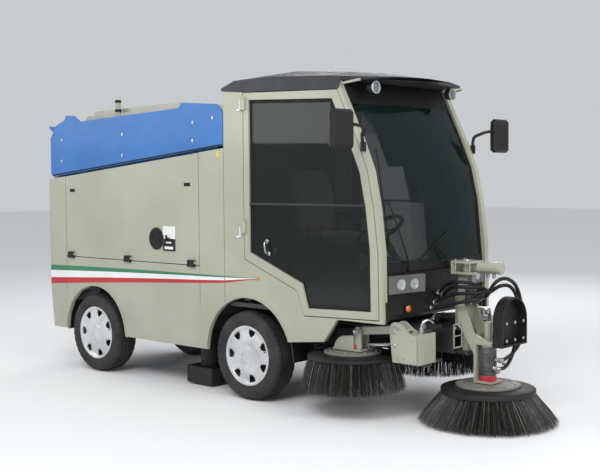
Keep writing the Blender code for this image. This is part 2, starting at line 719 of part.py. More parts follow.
def make_chassis():
    """Two rails with cross members, the front beam, its ears for the side brushes and the mast's bracket."""
    rail_top = RAIL_BASE + RAIL_HEIGHT
    pieces = [block((BEAM_FRONT - BEAM_DEPTH, -BEAM_HALF_WIDTH, BEAM_BASE),
                    (BEAM_FRONT, BEAM_HALF_WIDTH, BEAM_BASE + BEAM_HEIGHT))]
    for side in (-1, 1):
        pieces.append(block((-RAIL_REAR, side * RAIL_OFFSET - RAIL_WIDTH / 2, RAIL_BASE),
                            (RAIL_FRONT, side * RAIL_OFFSET + RAIL_WIDTH / 2, rail_top)))
        pieces.append(block((RAIL_FRONT - CROSS_MEMBER * 1.6, side * TONGUE_OFFSET - RAIL_WIDTH / 2,
                             RAIL_BASE + GAP * 10),
                            (TONGUE_FRONT, side * TONGUE_OFFSET + RAIL_WIDTH / 2, rail_top - GAP * 10)))
    low = RAIL_BASE + RAIL_HEIGHT / 4
    high = rail_top - RAIL_HEIGHT / 4
    foot_x = -CYLINDER_FOOT_X
    for x in (-RAIL_REAR + CROSS_MEMBER, -WHEELBASE / 2 - CROSS_MEMBER, foot_x, RAIL_FRONT - CROSS_MEMBER):
        pieces.append(block((x - CROSS_MEMBER / 2, -RAIL_OFFSET, low),
                            (x + CROSS_MEMBER / 2, RAIL_OFFSET, high)))
    # Lugs for the foot of the tipping cylinder
    lug_in = CYLINDER_EYE_RADIUS * 0.6 + CYLINDER_SIDE_GAP
    for side in (-1, 1):
        near, far = sorted((side * lug_in, side * (lug_in + CYLINDER_LUG)))
        outline = [(foot_x - CYLINDER_EYE_RADIUS, low), (foot_x + CYLINDER_EYE_RADIUS, low),
                   *arc((foot_x, CYLINDER_FOOT_HEIGHT), CYLINDER_EYE_RADIUS, 0, 180, 8)]
        pieces.append(plate(outline, near, far))
    pieces.append(rod((foot_x, -lug_in - CYLINDER_LUG / 2, CYLINDER_FOOT_HEIGHT),
                      (foot_x, lug_in + CYLINDER_LUG / 2, CYLINDER_FOOT_HEIGHT), CYLINDER_PIN_RADIUS))
    # Ears and pins that carry the side brushes
    for side in (-1, 1):
        ear_low = SWING_BOX_BASE - SWING_EAR_GAP - SWING_EAR
        ear_high = SWING_BOX_BASE + SWING_BOX_HEIGHT + SWING_EAR_GAP
        for base in (ear_low, ear_high):
            pieces.append(block((BEAM_FRONT - BEAM_DEPTH * 0.35,
                                 side * (BEAM_HALF_WIDTH - 2 * SWING_EAR_RADIUS), base),
                                (SWING_X, side * (SWING_Y + SWING_BOX_INNER / 2), base + SWING_EAR)))
            pieces.append(rod((SWING_X, side * SWING_Y, base), (SWING_X, side * SWING_Y, base + SWING_EAR),
                              SWING_EAR_RADIUS, 16))
        pieces.append(block((BEAM_FRONT - BEAM_DEPTH * 0.7, side * (BEAM_HALF_WIDTH - 2 * SWING_EAR_RADIUS),
                             ear_low),
                            (BEAM_FRONT - BEAM_DEPTH * 0.3, side * (BEAM_HALF_WIDTH - SWING_EAR),
                             ear_high + SWING_EAR)))
        pieces.append(rod((SWING_X, side * SWING_Y, ear_low + SWING_EAR / 2),
                          (SWING_X, side * SWING_Y, ear_high + SWING_EAR / 2), SWING_PIN_RADIUS))
    # Bracket with two sockets that carries the mast
    cuts = []
    for base in (MAST_BRACKET_BASE, MAST_BASE - MAST_BRACKET_GAP - MAST_BRACKET):
        top = base + MAST_BRACKET
        pieces.append(block((BEAM_FRONT - SWING_EAR, MAST_Y - MAST_BRACKET_WIDTH / 2, base),
                            (MAST_X - MAST_NOSE_RADIUS, MAST_Y + MAST_BRACKET_WIDTH / 2, top)))
        pieces.append(block((MAST_X - MAST_NOSE_RADIUS * 2, MAST_Y - MAST_NOSE_RADIUS, base),
                            (MAST_X, MAST_Y + MAST_NOSE_RADIUS, top)))
        pieces.append(rod((MAST_X, MAST_Y, base), (MAST_X, MAST_Y, top), MAST_NOSE_RADIUS, 20))
    for edge in (-1, 1):
        near, far = sorted((MAST_Y + edge * MAST_BRACKET_WIDTH / 2,
                            MAST_Y + edge * (MAST_BRACKET_WIDTH / 2 - MAST_BRACKET)))
        pieces.append(block((BEAM_FRONT - SWING_EAR, near, MAST_BRACKET_BASE),
                            (MAST_X - MAST_NOSE_RADIUS, far, MAST_BASE - MAST_BRACKET_GAP)))
    cuts.append(rod((MAST_X, MAST_Y, 0), (MAST_X, MAST_Y, MAST_BASE + CUT_OVERRUN),
                    MAST_PIN_RADIUS + PIN_CLEARANCE, 16))
    finish("chassis_frame", "frame_paint", fused(pieces, cuts))


def make_engine():
    base = RAIL_BASE + RAIL_HEIGHT + GAP
    engine = block((-ENGINE_CENTRE - ENGINE_LENGTH / 2, -ENGINE_WIDTH / 2, base),
                   (-ENGINE_CENTRE + ENGINE_LENGTH / 2, ENGINE_WIDTH / 2, base + ENGINE_HEIGHT), WALL)
    finish("engine_block", "cast_metal", engine)


# Rear body

def blue_base(x):
    """Height of the lower edge of the blue panel at x, which rises towards the cab."""
    share = (x + BLUE_REAR) / (BLUE_REAR - BLUE_FRONT)
    return BLUE_REAR_BASE + (BLUE_FRONT_BASE - BLUE_REAR_BASE) * share


def body_top(x):
    return blue_base(x) - BODY_TOP_DROP


def arch_cut(centre, radius, start, end):
    """A wheel arch's edge between two angles, from and to the body's lower edge where it meets it."""
    foot = math.degrees(math.asin((BODY_BOTTOM - centre[1]) / radius))
    return arc(centre, radius, min(start, 180 - foot), max(end, foot), ARCH_SIDES)


def arch_angle(x):
    """The angle at which the front arch's edge passes x."""
    return math.degrees(math.acos((x - ARCH_SHIFT) / FRONT_ARCH_RADIUS))


def half_pipe(centre, radius, wall, low, high):
    """A wheel arch's liner: half of a thin pipe, open below, across from low to high."""
    outer = arc(centre, radius + wall, 0, 180, ARCH_SIDES // 2)
    inner = arc(centre, radius, 180, 0, ARCH_SIDES // 2)
    return plate(outer + inner, low, high)


def make_body():
    """The grey rear body: side walls with arches and hatch openings, a bulkhead, decks and hinge ears."""
    arch = (-WHEELBASE + ARCH_SHIFT * 0.9, TYRE_RADIUS)
    outline = [(-BODY_REAR + BODY_TUCK, BODY_BOTTOM), *arch_cut(arch, REAR_ARCH_RADIUS, 180, 0),
               *arch_cut((ARCH_SHIFT, TYRE_RADIUS), FRONT_ARCH_RADIUS, 180, arch_angle(-BODY_FRONT)),
               (-BODY_FRONT, body_top(-BODY_FRONT)),
               (-BODY_REAR, body_top(-BODY_REAR)), (-BODY_REAR, TUCK_HEIGHT)]
    opening = [(-HATCH_REAR - SEAM, HATCH_BASE - SEAM), (-HATCH_FRONT + SEAM, HATCH_BASE - SEAM),
               (-HATCH_FRONT + SEAM, body_top(-HATCH_FRONT) + CUT_OVERRUN),
               (-HATCH_REAR - SEAM, body_top(-HATCH_REAR) + CUT_OVERRUN)]
    side_in = HALF_WIDTH - WALL
    pieces = []
    cuts = []
    for side in (-1, 1):
        low, high = sorted((side * side_in, side * HALF_WIDTH))
        pieces.append(plate(outline, low, high))
        low, high = sorted((side * (side_in - CUT_OVERRUN), side * (HALF_WIDTH + CUT_OVERRUN)))
        cuts.append(plate(opening, low, high))
        low, high = sorted((side * (HALF_WIDTH - WALL / 2), side * (HALF_WIDTH - ARCH_DEPTH)))
        pieces.append(half_pipe(arch, REAR_ARCH_RADIUS, LINER, low, high))
        # Deck shelves under the hatches
        low, high = sorted((side * (HALF_WIDTH - DECK_WIDTH), side * (HALF_WIDTH - HATCH_THICKNESS - SEAM)))
        pieces.append(block((-BODY_REAR + WALL * 2, low, DECK_HEIGHT - DECK_THICKNESS),
                            (-BODY_FRONT - WALL / 2, high, DECK_HEIGHT)))
        # Ledge that ties the deck to the wall below the hatch
        low, high = sorted((side * (HALF_WIDTH - WALL / 2), side * (HALF_WIDTH - HATCH_THICKNESS * 2)))
        pieces.append(block((-BODY_REAR + WALL * 2, low, HATCH_BASE - SEAM - HATCH_FRAME),
                            (-BODY_FRONT - WALL / 2, high, HATCH_BASE - SEAM)))
        low, high = sorted((side * (HALF_WIDTH - HATCH_THICKNESS - SEAM),
                            side * (HALF_WIDTH - HATCH_THICKNESS - SEAM - DECK_THICKNESS)))
        pieces.append(block((-BODY_REAR + WALL * 2, low, HATCH_BASE - SEAM - HATCH_FRAME),
                            (-BODY_FRONT - WALL / 2, high, DECK_HEIGHT)))
        # Ears beside the hopper for its two hinge pins
        ear_in = HALF_WIDTH - BLUE_THICKNESS - RUNNING_GAP
        low, high = sorted((side * ear_in, side * (ear_in - HOPPER_EAR_THICKNESS)))
        pivot = (-BODY_REAR + HOPPER_PIVOT_INSET, HOPPER_PIVOT_HEIGHT)
        foot = HOPPER_PIVOT_HEIGHT - HOPPER_EAR_DEPTH
        ear = [(pivot[0] - HOPPER_EAR_RADIUS, foot), (pivot[0] + HOPPER_EAR_RADIUS, foot),
               *arc(pivot, HOPPER_EAR_RADIUS, 0, 180, 10)]
        pieces.append(plate(ear, low, high))
        low, high = sorted((side * (HALF_WIDTH - WALL / 2), side * (ear_in - HOPPER_EAR_THICKNESS)))
        pieces.append(block((pivot[0] - HOPPER_EAR_RADIUS, low, foot),
                            (pivot[0] + HOPPER_EAR_RADIUS, high, foot + HOPPER_EAR_DEPTH / 2)))
        low, high = sorted((side * (ear_in + BLUE_THICKNESS), side * (ear_in - 2 * HOPPER_EAR_THICKNESS)))
        cuts.append(rod((pivot[0], low, pivot[1]), (pivot[0], high, pivot[1]),
                        HOPPER_PIN_RADIUS + PIN_CLEARANCE))
    # Bulkhead behind the cab, and the cross tie at the tail
    pieces.append(block((-BODY_FRONT - WALL, -HALF_WIDTH + WALL / 2, DECK_HEIGHT - DECK_THICKNESS - SHEET),
                        (-BODY_FRONT - SHEET / 3, HALF_WIDTH - WALL / 2, body_top(-BODY_FRONT) - SHEET)))
    pieces.append(block((-BODY_REAR + WALL * 2, -HALF_WIDTH + WALL / 2, RAIL_BASE + RAIL_HEIGHT + GAP),
                        (-BODY_REAR + WALL * 4, HALF_WIDTH - WALL / 2, RAIL_BASE + RAIL_HEIGHT + WALL * 2)))
    tie_x = -FRONT_ARCH_RADIUS - WALL * 2
    pieces.append(block((tie_x - WALL * 2, -HALF_WIDTH + WALL / 2, RAIL_BASE + RAIL_HEIGHT + GAP),
                        (tie_x, HALF_WIDTH - WALL / 2, RAIL_BASE + RAIL_HEIGHT + WALL * 2)))
    finish("body_shell", "body_paint", fused(pieces, cuts))


def make_rear_panel():
    """The tail: a panel that tucks in at the bottom, two tall lamps and a bumper bar."""
    top = body_top(-BODY_REAR) - WALL / 2
    panel = [(-BODY_REAR, top), (-BODY_REAR, TUCK_HEIGHT), (-BODY_REAR + BODY_TUCK, BODY_BOTTOM),
             (-BODY_REAR + BODY_TUCK + WALL, BODY_BOTTOM), (-BODY_REAR + WALL, TUCK_HEIGHT),
             (-BODY_REAR + WALL, top)]
    edge = HALF_WIDTH - WALL - GAP
    pieces = [plate(panel, -edge, edge)]
    for side in (-1, 1):
        low, high = sorted((side * (edge - WALL), side * (edge - WALL - TAIL_LAMP_WIDTH)))
        pieces.append(block((-BODY_REAR - TAIL_LAMP_DEPTH, low, TAIL_LAMP_BASE),
                            (-BODY_REAR + WALL / 2, high, TAIL_LAMP_BASE + TAIL_LAMP_HEIGHT), WALL / 5))
    pieces.append(block((-BODY_REAR - REAR_BUMPER_DEPTH / 2, -edge + WALL, REAR_BUMPER_BASE),
                        (-BODY_REAR + REAR_BUMPER_DEPTH, edge - WALL,
                         REAR_BUMPER_BASE + REAR_BUMPER_HEIGHT), WALL / 5))
    finish("rear_panel", "body_paint", fused(pieces))


def make_hatches():
    """Side hatches hung on three knuckles below; each opens outward and down."""
    top = RUNNING_GAP / 4
    outline = [(-HATCH_REAR, HATCH_BASE), (-HATCH_FRONT, HATCH_BASE),
               (-HATCH_FRONT, body_top(-HATCH_FRONT) - top), (-HATCH_REAR, body_top(-HATCH_REAR) - top)]
    border = HATCH_FRAME
    recess = [(-HATCH_REAR + border, HATCH_BASE + border), (-HATCH_FRONT - border, HATCH_BASE + border),
              (-HATCH_FRONT - border, body_top(-HATCH_FRONT) - border * 2),
              (-HATCH_REAR + border, body_top(-HATCH_REAR) - border * 2)]
    inner = -HALF_WIDTH + HATCH_THICKNESS
    axis_y = -HALF_WIDTH - HATCH_HINGE_OUT
    axis_z = HATCH_BASE - SEAM / 2
    pieces = [plate(outline, -HALF_WIDTH, inner)]
    cuts = [plate(recess, -HALF_WIDTH + SHEET / 2, inner + CUT_OVERRUN)]
    reach = HATCH_REAR - HATCH_FRONT - 2 * HATCH_HINGE_INSET
    for i in range(HATCH_HINGES):
        x = -HATCH_REAR + HATCH_HINGE_INSET + reach * i / (HATCH_HINGES - 1)
        pieces.append(rod((x - HATCH_HINGE_LENGTH / 2, axis_y, axis_z),
                          (x + HATCH_HINGE_LENGTH / 2, axis_y, axis_z),
                          HATCH_HINGE_RADIUS, 12))
        pieces.append(block((x - HATCH_HINGE_LENGTH / 2, axis_y - HATCH_HINGE_RADIUS / 2, axis_z),
                            (x + HATCH_HINGE_LENGTH / 2, -HALF_WIDTH + SHEET / 3, axis_z + HATCH_FRAME)))
    filler = (-HATCH_FRONT - FILLER_FROM_FRONT, -HALF_WIDTH, FILLER_HEIGHT)
    pieces.append(rod((filler[0], -HALF_WIDTH - FILLER_DEPTH, filler[2]),
                      (filler[0], -HALF_WIDTH + SHEET / 3, filler[2]), FILLER_RADIUS, 24))
    finish_pair("hatch", "body_paint", fused(pieces, cuts), (-HATCH_REAR, axis_y, axis_z))


# Hopper

def make_hopper():
    """The bin with its blue sides: a sloped floor, an open back, a deck on top and two hinge pins."""
    length = BLUE_REAR - BLUE_FRONT
    sides = [(-BLUE_REAR, BLUE_REAR_BASE + BODY_TOP_DROP * 1.6),
             (-BLUE_REAR + BODY_TOP_DROP * 1.5, BLUE_REAR_BASE + GAP),
             (-BLUE_FRONT, BLUE_FRONT_BASE)]
    top_base = blue_base(-BLUE_FRONT)
    for along, up in reversed(BLUE_TOP_SHARES):
        sides.append((-BLUE_REAR + along * length, top_base + BLUE_HEIGHT * up))
    bin_half = HALF_WIDTH - BLUE_THICKNESS - BIN_SIDE_GAP
    rear = -TAIL_DOOR_REAR + TAIL_DOOR_THICKNESS + SEAM
    lip = HOPPER_PIVOT_HEIGHT
    profile = [(rear, BIN_TOP), (rear, lip), (rear + BIN_SLOPE, BIN_BASE),
               (-BIN_FRONT - SHEET * 3, BIN_BASE),
               (-BIN_FRONT, BIN_BASE + SHEET * 3), (-BIN_FRONT, BIN_TOP)]
    mouth_top = DOOR_SHAFT_HEIGHT - DOOR_SHAFT_RADIUS * 3
    inner = [(rear - CUT_OVERRUN, mouth_top), (rear - CUT_OVERRUN, lip + SHEET * 1.2),
             (rear, lip + SHEET * 1.2),
             (rear + BIN_SLOPE + SHEET / 2, BIN_BASE + SHEET), (-BIN_FRONT - SHEET * 3.4, BIN_BASE + SHEET),
             (-BIN_FRONT - SHEET, BIN_BASE + SHEET * 3.4), (-BIN_FRONT - SHEET, BIN_TOP - SHEET),
             (rear + SHEET * 8, BIN_TOP - SHEET), (rear + SHEET * 8, mouth_top)]
    notch = [(rear - CUT_OVERRUN, mouth_top - GAP), (rear + SHEET * 5, mouth_top - GAP),
             (rear + SHEET * 5, BIN_TOP + CUT_OVERRUN), (rear - CUT_OVERRUN, BIN_TOP + CUT_OVERRUN)]
    pieces = [plate(profile, -bin_half, bin_half)]
    cuts = [plate(inner, -bin_half + SHEET, bin_half - SHEET),
            plate(notch, -bin_half - SHEET, bin_half + SHEET)]
    deck_rear = rear + SHEET * 6
    deck_top = BIN_TOP - SHEET / 6
    for side in (-1, 1):
        low, high = sorted((side * HALF_WIDTH, side * (HALF_WIDTH - BLUE_THICKNESS)))
        pieces.append(plate(sides, low, high))
        low, high = sorted((side * (bin_half - SHEET / 2), side * (HALF_WIDTH - BLUE_THICKNESS / 2)))
        pieces.append(block((deck_rear, low, deck_top - SHEET), (-BIN_FRONT - SHEET / 2, high, deck_top)))
        low, high = sorted((side * (HALF_WIDTH + CUT_OVERRUN), side * (bin_half + GAP)))
        shaft = (-BODY_REAR + BIN_REAR_INSET + DOOR_SHAFT_INSET, DOOR_SHAFT_HEIGHT)
        cuts.append(rod((shaft[0], low, shaft[1]), (shaft[0], high, shaft[1]),
                        DOOR_SHAFT_RADIUS + PIN_CLEARANCE, 12))
    pieces.append(block((-BIN_FRONT - SHEET * 0.8, -HALF_WIDTH + BLUE_THICKNESS / 3,
                         deck_top - SHEET * 1.2),
                        (-BLUE_FRONT - SHEET, HALF_WIDTH - BLUE_THICKNESS / 3, deck_top - SHEET / 6)))
    # Clevis below the floor for the cylinder's rod
    lug_in = CYLINDER_EYE_RADIUS * 0.6 + RUNNING_GAP
    for side in (-1, 1):
        low, high = sorted((side * lug_in, side * (lug_in + CYLINDER_LUG)))
        eye = (-CYLINDER_EYE_X, CYLINDER_EYE_HEIGHT)
        lug = [*arc(eye, CYLINDER_EYE_RADIUS * 0.8, 180, 360, 8),
               (eye[0] + CYLINDER_LUG_SPREAD, BIN_BASE + SHEET / 2),
               (eye[0] - CYLINDER_LUG_SPREAD, BIN_BASE + SHEET / 2)]
        pieces.append(plate(lug, low, high))
    pivot_x = -BODY_REAR + HOPPER_PIVOT_INSET
    finish("hopper_bin", "blue_paint", fused(pieces, cuts), (pivot_x, 0, HOPPER_PIVOT_HEIGHT))
    # Each hinge pin runs from the bin's wall to the blue side, through the body's ear
    pin_in = (pivot_x, -bin_half - GAP, HOPPER_PIVOT_HEIGHT)
    pin_out = (pivot_x, -(HALF_WIDTH - BLUE_THICKNESS - GAP), HOPPER_PIVOT_HEIGHT)
    finish_pair("hopper_pin", "steel", rod(pin_out, pin_in, HOPPER_PIN_RADIUS), pin_in)


def make_cover():
    """The raised grey lid on the hopper's deck, with sloped ends, and the black vent pipe beside it."""
    base = BIN_TOP + GAP
    outline = [(-COVER_REAR, base), (-COVER_FRONT, base), (-COVER_FRONT - COVER_SLOPE, base + COVER_HEIGHT),
               (-COVER_REAR + COVER_SLOPE / 2, base + COVER_HEIGHT * 0.86)]
    lid = plate(outline, -COVER_WIDTH / 2, COVER_WIDTH / 2)
    shape = bmesh.new()
    shape.from_mesh(lid.data)
    top = [edge for edge in shape.edges
           if all(vert.co.z > base + COVER_HEIGHT / 2 for vert in edge.verts)]
    bmesh.ops.bevel(shape, geom=top, offset=COVER_BEVEL, segments=2, affect="EDGES")
    bpy.data.objects.remove(lid, do_unlink=True)
    lid = from_bmesh(shape)
    vent = rod((-VENT_X, -COVER_WIDTH / 2, base), (-VENT_X, -COVER_WIDTH / 2,
                                                   base + COVER_HEIGHT + VENT_RISE),
               VENT_RADIUS, 12)
    finish("hopper_cover", "body_paint", fused([lid, vent]))


def make_tail_door():
    """The hopper's rear door: it hangs on a shaft in the blue sides and carries the tipped-up lip."""
    shaft = (-BODY_REAR + BIN_REAR_INSET + DOOR_SHAFT_INSET, DOOR_SHAFT_HEIGHT)
    rear = -TAIL_DOOR_REAR
    front = rear + TAIL_DOOR_THICKNESS
    edge = HALF_WIDTH - BLUE_THICKNESS - BIN_SIDE_GAP - SHEET
    bottom = HOPPER_PIVOT_HEIGHT + RUNNING_GAP
    high = DOOR_SHAFT_HEIGHT + DOOR_SHAFT_RADIUS
    low = DOOR_SHAFT_HEIGHT - DOOR_SHAFT_RADIUS
    outline = [(rear, bottom), (front, bottom), (front, low), (shaft[0], low), (shaft[0], high),
               (rear, high),
               (rear - LIP_REACH, high + LIP_RISE), (rear - LIP_REACH, high + LIP_RISE - LIP_THICKNESS),
               (rear, high - LIP_THICKNESS * 1.6)]
    pieces = [plate(outline, -edge, edge)]
    reach = HALF_WIDTH - GAP * 10
    pieces.append(rod((shaft[0], -reach, shaft[1]), (shaft[0], reach, shaft[1]), DOOR_SHAFT_RADIUS, 12))
    finish("hopper_door", "blue_paint", fused(pieces), (shaft[0], 0, shaft[1]))


def make_tip_cylinder():
    """The tipping cylinder: a barrel on the frame's lugs, and a rod whose eye sits in the clevis."""
    foot = Vector((-CYLINDER_FOOT_X, 0, CYLINDER_FOOT_HEIGHT))
    eye = Vector((-CYLINDER_EYE_X, 0, CYLINDER_EYE_HEIGHT))
    along = (eye - foot).normalized()
    reach = (eye - foot).length
    half = CYLINDER_EYE_RADIUS * 0.6
    mouth = foot + along * (reach - CYLINDER_EYE_RADIUS * 3)
    barrel = [rod(foot + along * CYLINDER_EYE_RADIUS * 1.5, mouth, CYLINDER_RADIUS, 16),
              rod(foot + along * CYLINDER_PIN_RADIUS * 1.5, foot + along * CYLINDER_EYE_RADIUS * 2,
                  half * 0.9),
              rod(foot - Vector((0, half, 0)), foot + Vector((0, half, 0)), CYLINDER_EYE_RADIUS, 16)]
    bore = CYLINDER_ROD_RADIUS + PIN_CLEARANCE
    cuts = [rod(foot + along * CYLINDER_EYE_RADIUS * 3, mouth + along * CUT_OVERRUN, bore, 16),
            rod(foot - Vector((0, half * 2, 0)), foot + Vector((0, half * 2, 0)),
                CYLINDER_PIN_RADIUS + PIN_CLEARANCE)]
    finish("tip_barrel", "frame_paint", fused(barrel, cuts), foot)
    rod_body = [rod(foot + along * CYLINDER_EYE_RADIUS * 3.5, eye, CYLINDER_ROD_RADIUS),
                rod(eye - Vector((0, half, 0)), eye + Vector((0, half, 0)), CYLINDER_EYE_RADIUS * 0.8, 16)]
    hole = [rod(eye - Vector((0, half * 2, 0)), eye + Vector((0, half * 2, 0)), CYLINDER_PIN_RADIUS)]
    finish("tip_rod", "steel", fused(rod_body, hole), eye)


# Cab

def door_point(along, up, length=DOOR_LENGTH, height=DOOR_HEIGHT, start=DOOR_REAR, base=DOOR_BASE):
    return (start + along * length, base + up * height)


def pillar_front():
    """Front edge of the windscreen pillar, from the sill up to the roof."""
    edge = []
    for along, up in (DOOR_OUTLINE_SHARES[6], DOOR_OUTLINE_SHARES[5], DOOR_OUTLINE_SHARES[4],
                      DOOR_OUTLINE_SHARES[3], DOOR_OUTLINE_SHARES[2], DOOR_OUTLINE_SHARES[1]):
        x, z = door_point(along, up)
        edge.append((x + SEAM + A_PILLAR, z))
    edge.append((edge[-1][0] - A_PILLAR, CAB_TOP))
    return edge


def screen_x(z):
    """Front edge of the pillar at height z."""
    edge = pillar_front()
    for (x0, z0), (x1, z1) in zip(edge, edge[1:]):
        if z0 <= z <= z1:
            return x0 + (x1 - x0) * (z - z0) / (z1 - z0)
    return edge[0][0] if z < edge[0][1] else edge[-1][0]


def make_cab():
    """The cab's frame: two sides with door openings, a rear wall, roof rails, a front sill and liners."""
    arch = (ARCH_SHIFT, TYRE_RADIUS)
    front = pillar_front()
    sill = DOOR_BASE - SEAM / 2
    outline = [*arc(arch, FRONT_ARCH_RADIUS, arch_angle(-CAB_REAR), SKIRT_ANGLE, ARCH_SIDES),
               (SKIRT_X, SKIRT_HEIGHT), (SKIRT_END, sill), (front[0][0], sill), *front,
               (-CAB_REAR, CAB_TOP)]
    opening = [door_point(along, up) for along, up in DOOR_OUTLINE_SHARES]
    middle = (DOOR_REAR + DOOR_LENGTH / 2, DOOR_BASE + DOOR_HEIGHT / 2)
    grow_x = 1 + 2 * SEAM / DOOR_LENGTH
    grow_z = 1 + 2 * SEAM / DOOR_HEIGHT
    opening = [(middle[0] + (x - middle[0]) * grow_x, middle[1] + (z - middle[1]) * grow_z) for x,
               z in opening]
    side_in = HALF_WIDTH - CAB_SIDE_THICKNESS
    inner_rail = HALF_WIDTH - CAB_SIDE_THICKNESS / 2
    pieces = []
    for side in (-1, 1):
        low, high = sorted((side * side_in, side * HALF_WIDTH))
        panel = plate(outline, low, high)
        low, high = sorted((side * (side_in - CUT_OVERRUN), side * (HALF_WIDTH + CUT_OVERRUN)))
        pieces.append(fused([panel], [plate(opening, low, high)]))
        low, high = sorted((side * (HALF_WIDTH - WALL - GAP), side * (HALF_WIDTH - ARCH_DEPTH)))
        pieces.append(half_pipe(arch, FRONT_ARCH_RADIUS, LINER, low, high))
        low, high = sorted((side * (side_in + DOOR_RAIL_DEPTH / 2), side * (side_in - SILL_RAIL)))
        pieces.append(block((-CAB_REAR + SHEET, low, SILL_HEIGHT),
                            (front[0][0] - A_PILLAR / 2, high, SILL_HEIGHT + SILL_RAIL_HEIGHT)))
    pieces.append(block((-CAB_REAR + GAP * 10, -inner_rail, FLOOR_HIGH - LINER),
                        (-CAB_REAR + CAB_WALL, inner_rail, CAB_TOP - GAP * 10)))
    top = front[-1][0] - CROSS_RAIL_WIDTH / 2
    pieces.append(block((top - CROSS_RAIL_WIDTH, -inner_rail, CAB_TOP - CAB_RAIL),
                        (top, inner_rail, CAB_TOP - GAP * 10)))
    pieces.append(block((front[0][0] - CROSS_RAIL_WIDTH, -side_in, SILL_HEIGHT + GAP * 10),
                        (front[0][0] - CROSS_RAIL_WIDTH / 2, side_in, SILL_HEIGHT + CAB_RAIL)))
    finish("cab_shell", "body_paint", fused(pieces))


def make_floor():
    """The stepped cab floor with the seat's pedestal."""
    edge = HALF_WIDTH - CAB_SIDE_THICKNESS - SILL_RAIL - GAP
    rear = -CAB_REAR + CAB_WALL + GAP
    front = pillar_front()[0][0] - CROSS_RAIL_WIDTH - GAP
    high = FLOOR_HIGH
    low = CAB_BOTTOM
    outline = [(rear, high), (FLOOR_STEP_X, high), (FLOOR_STEP_X, low), (front, low),
               (front, low + FLOOR_THICKNESS), (FLOOR_STEP_X + FLOOR_THICKNESS, low + FLOOR_THICKNESS),
               (FLOOR_STEP_X + FLOOR_THICKNESS, high + FLOOR_THICKNESS), (rear, high + FLOOR_THICKNESS)]
    pedestal = block((SEAT_X, -SEAT_WIDTH / 2 + WALL, high + FLOOR_THICKNESS / 2),
                     (SEAT_X + SEAT_DEPTH * 0.75, SEAT_WIDTH / 2 - WALL, SEAT_BASE_HEIGHT))
    finish("cab_floor", "charcoal", fused([plate(outline, -edge, edge), pedestal]))


def make_seat():
    base = SEAT_BASE_HEIGHT + GAP
    cushion = block((SEAT_X, -SEAT_WIDTH / 2, base), (SEAT_X + SEAT_DEPTH, SEAT_WIDTH / 2,
                                                      base + CUSHION_THICKNESS), WALL)
    finish("seat_cushion", "seat_fabric", cushion)
    low = base + CUSHION_THICKNESS + GAP
    sections = []
    for up, narrow in ((0.0, 1.0), (0.15, 1.0), (0.75, 0.96), (1.0, 0.72)):
        x = SEAT_X + BACK_THICKNESS * 0.3 - BACK_RECLINE * up
        half = SEAT_WIDTH / 2 * narrow
        z = low + BACK_HEIGHT * up
        sections.append([(x, -half, z), (x + BACK_THICKNESS, -half, z), (x + BACK_THICKNESS, half, z),
                         (x, half, z)])
    finish("seat_back", "seat_fabric", loft(sections))


def make_dashboard():
    """A dashboard on the floor, with the steering column and wheel."""
    base = CAB_BOTTOM + FLOOR_THICKNESS + GAP
    outline = [(DASH_REAR + WALL * 3, base), (DASH_FRONT, base), (DASH_FRONT, DASH_HEIGHT),
               (DASH_FRONT - WALL * 3, DASH_HEIGHT), (DASH_REAR, DASH_HEIGHT - WALL * 3)]
    desk = plate(outline, -DASH_WIDTH / 2, DASH_WIDTH / 2)
    hub = Vector((WHEEL_X, 0, WHEEL_HEIGHT))
    foot = Vector((DASH_REAR + WALL * 3, 0, DASH_HEIGHT - WALL * 4))
    axis = (hub - foot).normalized()
    rim = turned([(WHEEL_RADIUS + WHEEL_TUBE * math.cos(a), WHEEL_TUBE * math.sin(a))
                  for a in (math.pi / 3 * i for i in range(6))], hub, axis, 24)
    across = Vector((0, 1, 0))
    up = axis.cross(across)
    spokes = [rod(hub + arm * WHEEL_RADIUS, hub + arm * WHEEL_TUBE, WHEEL_TUBE * 0.7, 8)
              for arm in (across, -across, up)]
    boss = rod(hub - axis * WHEEL_TUBE * 1.5, hub + axis * WHEEL_TUBE * 1.5, WHEEL_TUBE * 3, 12)
    pieces = [desk, rod(foot, hub, COLUMN_RADIUS, 10), boss, rim, *spokes]
    finish("dashboard", "black_plastic", fused(pieces))


